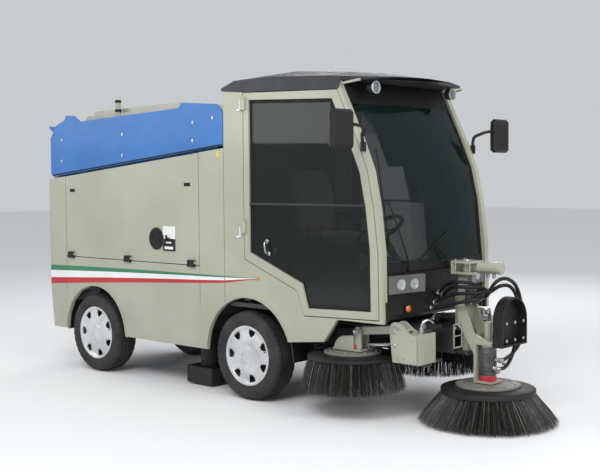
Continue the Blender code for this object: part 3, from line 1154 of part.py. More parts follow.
def make_doors():
    """Rear-hinged glass doors: a frame with a mid rail outside the pane, and two hinge knuckles."""
    outline = [door_point(along, up) for along, up in DOOR_OUTLINE_SHARES]
    window_start = DOOR_REAR + DOOR_FRAME
    window_length = DOOR_LENGTH - 2 * DOOR_FRAME
    window_base = DOOR_BASE + DOOR_FRAME
    window_height = DOOR_HEIGHT - 2 * DOOR_FRAME

    def window_point(along, up, inset=0.0):
        x, z = door_point(along, up, window_length, window_height, window_start, window_base)
        middle = (window_start + window_length / 2, window_base + window_height / 2)
        return (middle[0] + (x - middle[0]) * (1 - 2 * inset / window_length),
                middle[1] + (z - middle[1]) * (1 - 2 * inset / window_height))

    window = [window_point(along, up) for along, up in WINDOW_OUTLINE_SHARES]
    pane = [window_point(along, up, GAP * 2) for along, up in WINDOW_OUTLINE_SHARES]
    inner = -HALF_WIDTH + DOOR_THICKNESS
    axis = (DOOR_REAR - DOOR_HINGE_SETBACK, -HALF_WIDTH - DOOR_HINGE_OUT)
    rail_end = window_start + window_length * 0.985
    pieces = [plate(outline, -HALF_WIDTH, inner, holes=(window,)),
              block((window_start - SEAM, -HALF_WIDTH, DOOR_RAIL_HEIGHT),
                    (rail_end, -HALF_WIDTH + DOOR_RAIL_DEPTH, DOOR_RAIL_HEIGHT + DOOR_RAIL))]
    for height in DOOR_HINGE_HEIGHTS:
        pieces.append(rod((*axis, height), (*axis, height + DOOR_HINGE_LENGTH), DOOR_HINGE_RADIUS, 12))
        pieces.append(block((axis[0], axis[1] - DOOR_HINGE_RADIUS / 2, height),
                            (DOOR_REAR + DOOR_FRAME / 2, -HALF_WIDTH - DOOR_HINGE_SKIN,
                             height + DOOR_HINGE_LENGTH)))
        pieces.append(block((DOOR_REAR + DOOR_FRAME / 8, axis[1], height + DOOR_HINGE_SKIN),
                            (DOOR_REAR + DOOR_FRAME / 3, -HALF_WIDTH + DOOR_RAIL_DEPTH,
                             height + DOOR_HINGE_LENGTH - DOOR_HINGE_SKIN)))
    pivot = (*axis, DOOR_BASE)
    finish_pair("door_frame", "body_paint", fused(pieces), pivot)
    glass_out = -HALF_WIDTH + GLASS_DEPTH
    finish_pair("door_glass", "glass", plate(pane, glass_out, glass_out + GLASS), pivot)


def bowed_section(z, offset, half, thickness):
    """A section across the windscreen at height z, bowed forward in the middle."""
    shares = [-1 + 2 * i / SCREEN_STEPS for i in range(SCREEN_STEPS + 1)]
    edge_x = screen_x(z) - offset
    front = [(edge_x + SCREEN_BOW * (1 - share ** 2), half * share, z) for share in shares]
    rear = [(x - thickness, y, height) for x, y, height in reversed(front)]
    return front + rear


def make_windscreen():
    half = HALF_WIDTH - CAB_SIDE_THICKNESS - SCREEN_EDGE_GAP
    heights = [SCREEN_BASE + (SCREEN_TOP - SCREEN_BASE) * share for share in SCREEN_ROW_SHARES]
    finish("windscreen", "glass", loft([bowed_section(z, SCREEN_SETBACK, half,
                                                      SCREEN_THICKNESS) for z in heights]))


def make_nose():
    """The black panel below the windscreen: flat in the middle, swept back to both pillars."""
    half = HALF_WIDTH - CAB_SIDE_THICKNESS - GAP
    edge = screen_x(SILL_HEIGHT) - NOSE_SETBACK
    outline = [(edge - NOSE_THICKNESS, -half), (edge, -half), (edge + NOSE_BOW, -NOSE_FLAT),
               (edge + NOSE_BOW, NOSE_FLAT), (edge, half), (edge - NOSE_THICKNESS, half),
               (edge + NOSE_BOW - NOSE_THICKNESS, NOSE_FLAT),
               (edge + NOSE_BOW - NOSE_THICKNESS, -NOSE_FLAT)]
    finish("front_panel", "black_plastic", plate(outline, SILL_HEIGHT + CAB_RAIL + GAP, SCREEN_BASE - SEAM,
                                                 "XY"))


def make_headlights():
    """Grey lamp units on the swept part of the nose, each with two round lamps in recesses."""
    half = HALF_WIDTH - CAB_SIDE_THICKNESS - GAP
    edge = screen_x(SILL_HEIGHT) - NOSE_SETBACK
    sweep = math.atan2(NOSE_BOW, half - NOSE_FLAT)
    width = math.hypot(NOSE_BOW, half - NOSE_FLAT) - 2 * HEADLIGHT_MARGIN
    middle = Vector((edge + NOSE_BOW / 2, -(half + NOSE_FLAT) / 2, HEADLIGHT_BASE + HEADLIGHT_HEIGHT / 2))
    unit = block((GAP, -width / 2, -HEADLIGHT_HEIGHT / 2),
                 (GAP + HEADLIGHT_DEPTH, width / 2, HEADLIGHT_HEIGHT / 2), LAMP_RECESS / 3)
    cuts = [rod((GAP + HEADLIGHT_DEPTH - LAMP_RECESS, y, 0), (GAP + HEADLIGHT_DEPTH + CUT_OVERRUN, y, 0),
                LAMP_RADIUS, 16)
            for y in (-LAMP_SPACING / 2, LAMP_SPACING / 2)]
    unit = fused([unit], cuts)
    unit.data.transform(Matrix.Translation(middle) @ Matrix.Rotation(-sweep, 4, "Z"))
    finish_pair("headlight", "lamp_glass", unit)


def roof_section(share, width_share, edge_share, crown_share, bow_share):
    x = -CAB_REAR - ROOF_OVERHANG_REAR + (ROOF_FRONT + CAB_REAR + ROOF_OVERHANG_REAR) * share
    corner = x - ROOF_BOW * bow_share
    quarter = x - ROOF_BOW * bow_share * 0.3
    half = HALF_WIDTH * width_share
    base = CAB_TOP + GAP
    edge = base + ROOF_EDGE * edge_share
    crown = base + ROOF_CROWN * crown_share
    shoulder = edge + (crown - edge) * 0.75
    return [(corner, -half, base), (corner, -half, edge), (quarter, -half * 0.55, shoulder), (x, 0, crown),
            (quarter, half * 0.55, shoulder), (corner, half, edge), (corner, half, base),
            (quarter, half * 0.55, base), (x, 0, base), (quarter, -half * 0.55, base)]


def make_roof():
    """The dark roof: crowned, wedge-shaped in front as a visor, with two round work lamps below it."""
    roof = loft([roof_section(*shares) for shares in ROOF_STATION_SHARES])
    pieces = [roof]
    for side in (-1, 1):
        y = side * WORK_LAMP_Y
        z = CAB_TOP - WORK_LAMP_RADIUS - SEAM
        pieces.append(rod((WORK_LAMP_X, y, z), (WORK_LAMP_X + WORK_LAMP_DEPTH, y, z),
                          WORK_LAMP_RADIUS * 0.8, 16,
                          WORK_LAMP_RADIUS))
        pieces.append(block((WORK_LAMP_X + SEAM, y - SEAM, z),
                            (WORK_LAMP_X + SEAM * 4, y + SEAM, CAB_TOP + ROOF_EDGE * 0.2)))
    finish("cab_roof", "charcoal", fused(pieces))


def roof_height(x, y):
    """Height of the roof's skin at a place near its crown."""
    length = ROOF_FRONT + CAB_REAR + ROOF_OVERHANG_REAR
    share = (x + CAB_REAR + ROOF_OVERHANG_REAR) / length
    for first, second in zip(ROOF_STATION_SHARES, ROOF_STATION_SHARES[1:]):
        if first[0] <= share <= second[0]:
            part = (share - first[0]) / (second[0] - first[0])
            edge = CAB_TOP + GAP + ROOF_EDGE * (first[2] + (second[2] - first[2]) * part)
            crown = CAB_TOP + GAP + ROOF_CROWN * (first[3] + (second[3] - first[3]) * part)
            return crown - (crown - edge) * 0.25 * min(1.0, abs(y) / (HALF_WIDTH * 0.55))
    raise ValueError("the place is not on the roof")


def make_beacon():
    """A low domed beacon on a foot that reaches down to the roof's skin."""
    skin = roof_height(BEACON_X, BEACON_Y)
    base = skin + BEACON_RADIUS * ROOF_SLOPE + GAP
    profile = [(0, base + BEACON_HEIGHT), (BEACON_RADIUS * 0.6, base + BEACON_HEIGHT * 0.88),
               (BEACON_RADIUS * 0.92, base + BEACON_HEIGHT * 0.55),
               (BEACON_RADIUS, base + BEACON_HEIGHT * 0.2),
               (BEACON_RADIUS, base), (0, base)]
    finish("beacon", "red_lens", turned(profile, (BEACON_X, BEACON_Y, 0), (0, 0, 1), 16))


def make_mirrors():
    """Each mirror hangs on a bent tube from a foot on the windscreen pillar."""
    foot_x = screen_x(MIRROR_FOOT_HEIGHT) - MIRROR_FOOT_SETBACK
    head_x = foot_x + MIRROR_FORWARD
    foot_y = -HALF_WIDTH - GAP
    foot_top = MIRROR_FOOT_HEIGHT + MIRROR_FOOT_LENGTH
    foot = block((foot_x, foot_y - MIRROR_FOOT_DEPTH, MIRROR_FOOT_HEIGHT),
                 (foot_x + MIRROR_FOOT_WIDTH, foot_y, foot_top))
    head_y = -MIRROR_REACH + MIRROR_WIDTH / 2
    arm_z = MIRROR_CENTRE_HEIGHT + MIRROR_HEIGHT / 8
    route = [(foot_x + MIRROR_FOOT_WIDTH / 2, foot_y - MIRROR_FOOT_DEPTH / 2,
              foot_top - MIRROR_FOOT_LENGTH / 2),
             (foot_x + MIRROR_FOOT_WIDTH / 2, foot_y - MIRROR_FOOT_DEPTH, (foot_top + arm_z) / 2),
             (head_x - MIRROR_DEPTH / 4, foot_y - MIRROR_FOOT_DEPTH * 2, arm_z - MIRROR_ARM_RADIUS * 2),
             (head_x, (foot_y + head_y) / 2, arm_z), (head_x, head_y, arm_z)]
    head = block((head_x - MIRROR_DEPTH / 2, -MIRROR_REACH, MIRROR_CENTRE_HEIGHT - MIRROR_HEIGHT / 2),
                 (head_x + MIRROR_DEPTH / 2, -MIRROR_REACH + MIRROR_WIDTH,
                  MIRROR_CENTRE_HEIGHT + MIRROR_HEIGHT / 2),
                 MIRROR_DEPTH / 3)
    finish_pair("mirror", "black_plastic", fused([head, tube(smooth_route(route, 3), MIRROR_ARM_RADIUS, 1),
                                                  foot]))


# Suction nozzle

def make_nozzle():
    """The suction mouth under the middle, open below, with a duct up to the hopper and four hangers."""
    low = NOZZLE_CLEARANCE
    high = low + NOZZLE_HEIGHT
    rear = -NOZZLE_X - NOZZLE_LENGTH / 2
    front = -NOZZLE_X + NOZZLE_LENGTH / 2
    half = NOZZLE_WIDTH / 2
    duct = (-NOZZLE_X, -DUCT_Y)
    duct_top = BIN_BASE - RUNNING_GAP
    pieces = [block((rear, -half, low), (front, half, high), NOZZLE_WALL / 2),
              rod((*duct, high - NOZZLE_WALL / 2), (*duct, duct_top), DUCT_RADIUS, DUCT_SIDES)]
    for side in (-1, 1):
        for x in (rear + HANGER, front - HANGER):
            pieces.append(block((x - HANGER / 2, side * RAIL_OFFSET - HANGER / 2, high - NOZZLE_WALL / 2),
                                (x + HANGER / 2, side * RAIL_OFFSET + HANGER / 2, RAIL_BASE - GAP)))
    cuts = [block((rear + NOZZLE_WALL, -half + NOZZLE_WALL, low - CUT_OVERRUN),
                  (front - NOZZLE_WALL, half - NOZZLE_WALL, high - NOZZLE_WALL)),
            rod((*duct, high - NOZZLE_WALL * 2), (*duct, duct_top + CUT_OVERRUN), DUCT_RADIUS - DUCT_WALL,
                DUCT_SIDES)]
    finish("suction_nozzle", "black_plastic", fused(pieces, cuts))


# Brushes and their arms

def bristle_ring(centre, top, ring_radius, tip_radius, tip_height):
    """The bristles as one skirt of tufts, whose tips stand in and out in turn."""
    steps = TUFT_COUNT * 2
    top_radii = (ring_radius - BRISTLE_DEPTH, ring_radius - SEAM)
    tip_radii = (tip_radius - BRISTLE_DEPTH * 0.75, tip_radius)
    shape = bmesh.new()
    rings = []
    for height, radii, splay in ((top, top_radii, 0.0), (tip_height, tip_radii, TUFT_SPLAY)):
        for part, radius in enumerate(radii):
            ring = []
            for i in range(steps):
                angle = 2 * math.pi * i / steps
                reach = radius - splay * (i % 2)
                rise = splay * (i % 2)
                ring.append(shape.verts.new((centre[0] + reach * math.cos(angle),
                                             centre[1] + reach * math.sin(angle), height + rise)))
            rings.append(ring)
    inner_top, outer_top, inner_tip, outer_tip = rings
    for i in range(steps):
        j = (i + 1) % steps
        for near, far in ((inner_top, outer_top), (outer_top, outer_tip), (outer_tip, inner_tip),
                          (inner_tip, inner_top)):
            shape.faces.new((near[i], near[j], far[j], far[i]))
    return from_bmesh(shape)


def brush(centre, disc_top, disc_radius, ring_radius, tip_radius, tip_height):
    """A disc on its hub, a ring below it and the skirt of tufts, as one body with a bore for the shaft."""
    x, y = centre
    disc_low = disc_top - DISC_THICKNESS
    ring_low = disc_low - RING_THICKNESS
    inner = ring_radius - BRISTLE_DEPTH * 1.3
    ring = turned(((disc_radius - SHEET, disc_low + SHEET / 3), (ring_radius - SHEET, disc_low - SHEET / 2),
                   (ring_radius, disc_low - SHEET), (ring_radius, ring_low), (inner, ring_low),
                   (disc_radius - SHEET, disc_low - SHEET)), (x, y, 0), (0, 0, 1), TUFT_COUNT)
    disc = rod((x, y, disc_low), (x, y, disc_top), disc_radius, TUFT_COUNT)
    skirt = bristle_ring(centre, ring_low + SEAM, ring_radius, tip_radius, tip_height)
    bore = rod((x, y, disc_low - CUT_OVERRUN), (x, y, disc_top + CUT_OVERRUN), SHAFT_RADIUS + PIN_CLEARANCE,
               16)
    return fused([disc, ring, skirt], [bore])


def arm_middle():
    """The distance from the truck's middle to the middle of each side arm."""
    return SWING_Y + SWING_BOX_OUTER - CLEVIS_SPAN / 2


def make_side_bases():
    """The block that swings on the beam's pin: a box with two rounded plates for the arm and the link."""
    base = SWING_BOX_BASE
    top = base + SWING_BOX_HEIGHT
    outer = -SWING_Y - SWING_BOX_OUTER
    inset = SHEET / 5
    lift = (LIFT_X, LIFT_HEIGHT)
    box_rear = SWING_X - SWING_BOX_REAR
    pieces = [block((box_rear, outer + inset, base), (SWING_X + SWING_BOX_FRONT, -SWING_Y + SWING_BOX_INNER,
                                                      top)),
              rod((SWING_X, -SWING_Y, base + inset), (SWING_X, -SWING_Y, top - inset),
                  SWING_BOX_REAR + inset, 16)]
    outline = [(SWING_X, base + inset), (SWING_X, top + inset), *arc(lift, LIFT_PLATE_RADIUS, 50, 190, 10),
               (LIFT_X - LIFT_PLATE_RADIUS * 0.5, base + inset)]
    for y in (outer, outer + CLEVIS_SPAN - CLEVIS_PLATE):
        pieces.append(plate(outline, y, y + CLEVIS_PLATE))
    low = outer + CLEVIS_PLATE / 2
    high = outer + CLEVIS_SPAN - CLEVIS_PLATE / 2
    for height, radius in ((LIFT_HEIGHT, LIFT_PIN_RADIUS), (LIFT_HEIGHT - LINK_DROP, LINK_PIN_RADIUS)):
        pieces.append(rod((LIFT_X, low, height), (LIFT_X, high, height), radius))
    cut = rod((SWING_X, -SWING_Y, base - CUT_OVERRUN), (SWING_X, -SWING_Y, top + CUT_OVERRUN),
              SWING_PIN_RADIUS + PIN_CLEARANCE, 16)
    finish_pair("side_base", "body_paint", fused(pieces, [cut]), (SWING_X, -SWING_Y, base))


def eyed_bar(start, end, body, middle, width, eye_radius, pin_radius):
    """A bar between two eyes in the XZ plane, with a bore for a pin in each eye."""
    low = middle - width / 2
    high = middle + width / 2
    pieces = [body]
    cuts = []
    for x, z in (start, end):
        pieces.append(rod((x, low, z), (x, high, z), eye_radius, 16))
        cuts.append(rod((x, low - CUT_OVERRUN, z), (x, high + CUT_OVERRUN, z), pin_radius + PIN_CLEARANCE))
    return fused(pieces, cuts)


def make_side_arms():
    """The upper arm of the parallelogram is a box beam; the lower link is a thin strut with a turnbuckle."""
    middle = -arm_middle()
    start = Vector((LIFT_X, LIFT_HEIGHT))
    end = Vector((ARM_END_X, ARM_END_HEIGHT))
    along = (end - start).normalized()
    across = Vector((-along.y, along.x)) * (ARM_DEPTH / 2 - SHEET / 5)
    beam = plate([tuple(start + across), tuple(end + across), tuple(end - across), tuple(start - across)],
                 middle - ARM_WIDTH / 2 + SHEET / 5, middle + ARM_WIDTH / 2 - SHEET / 5)
    arm = eyed_bar(start, end, beam, middle, ARM_WIDTH, ARM_DEPTH / 2, LIFT_PIN_RADIUS)
    finish_pair("side_arm", "body_paint", arm, (LIFT_X, middle, LIFT_HEIGHT))
    low_start = Vector((LIFT_X, middle, LIFT_HEIGHT - LINK_DROP))
    low_end = Vector((ARM_END_X, middle, ARM_END_HEIGHT - LINK_DROP))
    reach = low_end - low_start
    clear = reach.normalized() * (LINK_PIN_RADIUS + LINK_EYE_RADIUS) / 2
    strut = fused([rod(low_start + clear, low_end - clear, STRUT_RADIUS, 10),
                   rod(low_start + reach * TURNBUCKLE_SHARES[0], low_start + reach * TURNBUCKLE_SHARES[1],
                       STRUT_BODY_RADIUS, 6)])
    link = eyed_bar((low_start.x, low_start.z), (low_end.x, low_end.z), strut, middle, LINK_WIDTH,
                    LINK_EYE_RADIUS,
                    LINK_PIN_RADIUS)
    finish_pair("side_link", "steel", link, low_start)


def make_side_heads():
    """The head that both bars hold level: two lug plates, a foot plate, a hood plate and the brush motor."""
    middle = -arm_middle()
    foot_low = SIDE_DISC_HEIGHT + SPIN_GAP
    head_y = -SIDE_BRUSH_Y
    rear = HEAD_X - HEAD_REAR
    front = ARM_END_X + HEAD_LUG
    pieces = [block((rear, head_y - HEAD_WIDTH / 2, foot_low),
                    (front, head_y + HEAD_WIDTH / 2, foot_low + HEAD_PLATE))]
    lug = [(ARM_END_X - HEAD_LUG, foot_low + HEAD_PLATE / 2),
           (front - HEAD_PLATE, foot_low + HEAD_PLATE / 2),
           *arc((ARM_END_X, ARM_END_HEIGHT), HEAD_LUG * 0.7, 0, 180, 8)]
    near = ARM_WIDTH / 2 + SPIN_GAP
    for side in (-1, 1):
        low, high = sorted((middle + side * near, middle + side * (near + HEAD_PLATE)))
        pieces.append(plate(lug, low, high))
        low, high = sorted((head_y + side * (HEAD_WIDTH / 2 - HEAD_PLATE / 4),
                            head_y + side * (HEAD_WIDTH / 2 - HEAD_PLATE)))
        hood = [(rear + HEAD_PLATE / 2, foot_low + HEAD_PLATE / 2),
                (ARM_END_X - HEAD_LUG / 2, foot_low + HEAD_PLATE / 2),
                (ARM_END_X - HEAD_LUG / 2, foot_low + HEAD_HEIGHT),
                *arc((rear + HEAD_HEIGHT, foot_low), HEAD_HEIGHT * 0.94, 90, 170, 6)]
        pieces.append(plate(hood, low, high))
    across = HEAD_WIDTH / 2 - HEAD_PLATE / 2
    pieces.append(block((ARM_END_X - HEAD_LUG - HEAD_PLATE / 3, head_y - across, foot_low + HEAD_PLATE / 2),
                        (ARM_END_X - HEAD_LUG + HEAD_PLATE, head_y + across,
                         foot_low + HEAD_HEIGHT - HEAD_PLATE / 2)))
    for height, radius in ((ARM_END_HEIGHT, LIFT_PIN_RADIUS),
                           (ARM_END_HEIGHT - LINK_DROP, LINK_PIN_RADIUS)):
        pieces.append(rod((ARM_END_X, middle - near - HEAD_PLATE / 2, height),
                          (ARM_END_X, middle + near + HEAD_PLATE / 2, height), radius))
    motor_top = foot_low + HEAD_PLATE + MOTOR_HEIGHT
    pieces.append(rod((HEAD_X, head_y, foot_low + HEAD_PLATE / 2), (HEAD_X, head_y, motor_top),
                      MOTOR_RADIUS * 0.8))
    pieces.append(rod((HEAD_X, head_y, SIDE_DISC_HEIGHT - DISC_THICKNESS),
                      (HEAD_X, head_y, foot_low + HEAD_PLATE / 2),
                      SHAFT_RADIUS, 16))
    finish_pair("side_head", "body_paint", fused(pieces), (ARM_END_X, middle, ARM_END_HEIGHT))


def make_side_brushes():
    made = brush((HEAD_X, -SIDE_BRUSH_Y), SIDE_DISC_HEIGHT, SIDE_DISC_RADIUS, SIDE_RING_RADIUS,
                 SIDE_TIP_RADIUS,
                 SIDE_TIP_HEIGHT)
    finish_pair("side_brush", "bristle", made, (HEAD_X, -SIDE_BRUSH_Y, SIDE_TIP_HEIGHT))


def make_mast():
    """The square mast turns on a pin in the bracket; a clevis cap and the swing actuator sit on top."""
    half = MAST_SIDE / 2
    cap = CAP_SIDE / 2
    pieces = [block((MAST_X - half, MAST_Y - half, MAST_BASE),
                    (MAST_X + half, MAST_Y + half, MAST_TOP + CAP_PLATE)),
              rod((MAST_X, MAST_Y, MAST_BRACKET_BASE), (MAST_X, MAST_Y, MAST_BASE + half), MAST_PIN_RADIUS,
                  16)]
    for base in (MAST_TOP, MAST_TOP + CAP_HEIGHT - CAP_PLATE):
        pieces.append(block((MAST_X - cap, MAST_Y - cap, base),
                            (MAST_X + cap, MAST_Y + cap, base + CAP_PLATE)))
    pieces.append(block((MAST_X - cap, MAST_Y - cap, MAST_TOP),
                        (MAST_X - cap + CAP_PLATE, MAST_Y + cap, MAST_TOP + CAP_HEIGHT)))
    middle = MAST_TOP + CAP_HEIGHT / 2
    pieces.append(rod((MAST_X, MAST_Y, MAST_TOP + CAP_PLATE / 2),
                      (MAST_X, MAST_Y, MAST_TOP + CAP_HEIGHT - CAP_PLATE / 2),
                      MAST_PIN_RADIUS))
    pieces.append(rod((MAST_X, MAST_Y + cap / 2, middle),
                      (MAST_X + cap + ACTUATOR_LENGTH, MAST_Y + cap / 2, middle),
                      ACTUATOR_RADIUS))
    finish("front_mast", "body_paint", fused(pieces), (MAST_X, MAST_Y, MAST_BASE))


def make_front_arm():
    """The sleeve that slides on the mast, with the plates down to the brush motor."""
    hole = MAST_SIDE / 2 + GAP * 2
    outer = hole + SLEEVE_WALL
    sleeve_top = SLEEVE_BASE + SLEEVE_HEIGHT
    foot_low = FRONT_DISC_HEIGHT + SPIN_GAP
    x = FRONT_BRUSH_X
    y = FRONT_BRUSH_Y
    half = FRONT_HEAD_WIDTH / 2
    rear = MAST_X + hole
    pieces = [block((MAST_X - outer, MAST_Y - outer, SLEEVE_BASE),
                    (MAST_X + outer, MAST_Y + outer, sleeve_top))]
    # Two arm plates from the sleeve down over the motor
    web = [(rear, SLEEVE_BASE), (x - half, FRONT_HEAD_TOP - half), (x - half, foot_low),
           (x - half + COLUMN_PLATE, foot_low),
           (x - half + COLUMN_PLATE, FRONT_HEAD_TOP), (x + half, FRONT_HEAD_TOP),
           (x + half, FRONT_HEAD_TOP + COLUMN_PLATE),
           (x - half, FRONT_HEAD_TOP + half), (rear, sleeve_top)]
    for edge in (y - half + GAP * 10, MAST_Y):
        pieces.append(plate(web, edge, edge + COLUMN_PLATE))
    pieces.append(block((x - half, y - half, FRONT_HEAD_TOP),
                        (x + half, y + half, FRONT_HEAD_TOP + COLUMN_PLATE)))
    pieces.append(block((x - half, y - half, foot_low), (x + half, y + half, foot_low + COLUMN_PLATE)))
    pieces.append(block((x - half, y - half, foot_low), (x - half + COLUMN_PLATE, MAST_Y + COLUMN_PLATE,
                                                         FRONT_HEAD_TOP + half)))
    pieces.append(block((rear - SLEEVE_WALL, y - half, SLEEVE_BASE),
                        (rear + SLEEVE_WALL, MAST_Y + COLUMN_PLATE, sleeve_top)))
    # Motor column and shaft
    pieces.append(rod((x, y, foot_low + COLUMN_PLATE / 2), (x, y, FRONT_HEAD_TOP + COLUMN_PLATE / 2),
                      MOTOR_RADIUS))
    pieces.append(rod((x, y, FRONT_HEAD_TOP), (x, y, LIFT_TUBE_TOP), LIFT_TUBE_RADIUS))
    pieces.append(rod((x, y, FRONT_DISC_HEIGHT - DISC_THICKNESS), (x, y, foot_low + COLUMN_PLATE),
                      SHAFT_RADIUS, 16))
    # Strap out to the guard
    pieces.append(block((x, y, FRONT_HEAD_TOP), (GUARD_X - GUARD_DEPTH / 2 - GAP, y + GUARD_WIDTH / 2,
                                                 FRONT_HEAD_TOP + COLUMN_PLATE * 2)))
    cut = block((MAST_X - hole, MAST_Y - hole, SLEEVE_BASE - CUT_OVERRUN),
                (MAST_X + hole, MAST_Y + hole, sleeve_top + CUT_OVERRUN))
    finish("front_arm", "body_paint", fused(pieces, [cut]), (MAST_X, MAST_Y, SLEEVE_BASE))


def make_guard():
    """The black guard beside the motor: an arched box, open to the rear."""
    middle = FRONT_BRUSH_Y + GUARD_WIDTH * 0.3
    half = GUARD_WIDTH / 2
    top = GUARD_BASE + GUARD_HEIGHT - half
    outline = [(middle - half, GUARD_BASE), (middle + half, GUARD_BASE),
               *arc((middle, top), half, 0, 180, 14)]
    inner_half = half - GUARD_WALL
    inner = [(middle - inner_half, GUARD_BASE + GUARD_WALL), (middle + inner_half, GUARD_BASE + GUARD_WALL),
             *arc((middle, top), inner_half, 0, 180, 14)]
    rear = GUARD_X - GUARD_DEPTH / 2
    shell = plate(outline, rear, GUARD_X + GUARD_DEPTH / 2, "YZ")
    hollow = plate(inner, rear + GUARD_WALL, GUARD_X + GUARD_DEPTH / 2 + CUT_OVERRUN, "YZ")
    finish("front_guard", "black_plastic", fused([shell], [hollow]))


def make_front_brush():
    made = brush((FRONT_BRUSH_X, FRONT_BRUSH_Y), FRONT_DISC_HEIGHT, FRONT_DISC_RADIUS, FRONT_RING_RADIUS,
                 FRONT_TIP_RADIUS, FRONT_TIP_HEIGHT)
    finish("front_brush", "bristle", made, (FRONT_BRUSH_X, FRONT_BRUSH_Y, FRONT_TIP_HEIGHT))


clear_scene()
PARTS = bpy.data.collections.new("street_sweeper_truck")
bpy.context.scene.collection.children.link(PARTS)
TRUCK = bpy.data.objects.new("truck", None)
PARTS.objects.link(TRUCK)
TRUCK.location = (FRONT_AXLE_X, 0.0, 0.0)
MATERIALS = {name: make_material(name) for name in COLOURS}

make_wheels()
make_knuckles()
make_axles()
make_chassis()
make_engine()
make_body()
make_rear_panel()
make_hatches()
make_hopper()
make_cover()
make_tail_door()
make_tip_cylinder()
make_cab()
make_floor()
make_seat()
make_dashboard()
make_doors()
make_windscreen()
make_nose()
make_headlights()
make_roof()
make_beacon()
make_mirrors()
make_nozzle()
make_side_bases()
make_side_arms()
make_side_heads()
make_side_brushes()
make_mast()
make_front_arm()
make_guard()
make_front_brush()
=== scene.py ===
"""Street sweeper truck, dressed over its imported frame. Metres, +X forwards, +Y to the left, +Z up."""
import json
import math
import random

import bmesh
import bpy
from mathutils import Matrix, Vector


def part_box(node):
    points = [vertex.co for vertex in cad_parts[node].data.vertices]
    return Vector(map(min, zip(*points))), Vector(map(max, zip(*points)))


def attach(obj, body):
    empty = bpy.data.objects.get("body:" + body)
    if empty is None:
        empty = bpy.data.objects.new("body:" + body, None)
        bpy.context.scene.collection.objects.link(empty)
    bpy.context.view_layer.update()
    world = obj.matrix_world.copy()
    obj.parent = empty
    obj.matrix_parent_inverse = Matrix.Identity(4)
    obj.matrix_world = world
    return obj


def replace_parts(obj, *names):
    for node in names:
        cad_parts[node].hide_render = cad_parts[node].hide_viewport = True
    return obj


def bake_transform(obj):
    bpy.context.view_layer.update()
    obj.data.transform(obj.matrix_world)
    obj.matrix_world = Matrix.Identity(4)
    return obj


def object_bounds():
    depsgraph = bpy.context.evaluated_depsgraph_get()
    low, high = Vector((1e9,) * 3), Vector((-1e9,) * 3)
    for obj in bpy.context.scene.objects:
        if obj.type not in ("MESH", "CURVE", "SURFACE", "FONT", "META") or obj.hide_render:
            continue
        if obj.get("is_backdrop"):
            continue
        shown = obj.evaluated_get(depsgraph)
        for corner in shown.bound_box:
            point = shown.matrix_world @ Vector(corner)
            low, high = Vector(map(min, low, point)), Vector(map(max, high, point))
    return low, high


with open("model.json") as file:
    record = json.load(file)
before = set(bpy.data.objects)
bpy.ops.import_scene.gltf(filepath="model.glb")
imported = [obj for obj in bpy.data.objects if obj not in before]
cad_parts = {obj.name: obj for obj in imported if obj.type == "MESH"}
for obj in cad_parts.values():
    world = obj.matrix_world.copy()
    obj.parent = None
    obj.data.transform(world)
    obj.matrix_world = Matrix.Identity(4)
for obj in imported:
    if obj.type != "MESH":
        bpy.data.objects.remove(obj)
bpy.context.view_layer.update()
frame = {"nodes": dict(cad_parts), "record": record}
NODES = frame["nodes"]
SHIFT = 0.16
HALF = 0.608
SKIN = 0.0006
ROOT, HOPPER, HATCH = "truck_frame", "hopper", "engine_hatch_{}"
CARRIER, BRUSH_HEAD = "side_swing_{}", "side_brush_head_{}"
MAST, ARM = "front_swing_mast", "front_lift_arm"
UP, DOWN, OUT, AHEAD = (0, 0, 1), (0, 0, -1), (0, -1, 0), (1, 0, 0)
SIDES = (("right", -1), ("left", 1))
random.seed(7)


def at(x, y, z):
    """A point of the truck, measured from its front axle's middle."""
    return Vector((x + SHIFT, y, z))


def skin(x, out, z):
    """A point that lies out from the right-hand side of the body, or inside it where out is negative."""
    return at(x, -HALF - out, z)


def put(name, data):
    """An object of this data, in the scene."""
    made = bpy.data.objects.new(name, data)
    bpy.context.scene.collection.objects.link(made)
    return made


# Camera at the photograph's angle
AZIMUTH, PITCH, ROLL = math.radians(42.285), math.radians(3.19), -0.0076
FOCAL_PIXELS, PHOTO_WIDTH, SENSOR = 1042.55, 600, 36
CAMERA_PLACE = at(5.165, -5.701, 1.559)


def make_camera():
    right = Vector((math.cos(AZIMUTH), math.sin(AZIMUTH), 0))
    ahead = Vector((-math.sin(AZIMUTH) * math.cos(PITCH), math.cos(AZIMUTH) * math.cos(PITCH),
                    -math.sin(PITCH)))
    up = right.cross(ahead)
    side = right * math.cos(ROLL) + up * math.sin(ROLL)
    top = up * math.cos(ROLL) - right * math.sin(ROLL)
    data = bpy.data.cameras.new("camera")
    data.sensor_width = SENSOR
    data.lens = FOCAL_PIXELS / PHOTO_WIDTH * SENSOR
    data.clip_end = 60
    camera = put("camera", data)
    place = Matrix((side, top, -ahead)).transposed().to_4x4()
    place.translation = CAMERA_PLACE
    camera.matrix_world = place
    bpy.context.scene.camera = camera


make_camera()


# Materials
def shader_of(mat):
    return mat.node_tree.nodes["Principled BSDF"]


def new_material(name, color, rough, metallic=0.0, **sockets):
    mat = bpy.data.materials.new(name)
    mat.use_nodes = True
    shader = shader_of(mat)
    shader.inputs["Base Color"].default_value = (*color, 1)
    shader.inputs["Roughness"].default_value = rough
    shader.inputs["Metallic"].default_value = metallic
    for key, value in sockets.items():
        shader.inputs[key.replace("_", " ")].default_value = value
    return mat


def node(mat, kind, **settings):
    """A shader node. Each setting is one of its attributes or else one of its inputs."""
    made = mat.node_tree.nodes.new("ShaderNode" + kind)
    for key, value in settings.items():
        if hasattr(made, key):
            setattr(made, key, value)
        else:
            made.inputs[key.replace("_", " ")].default_value = value
    return made


def link(mat, source, target):
    mat.node_tree.links.new(source, target)


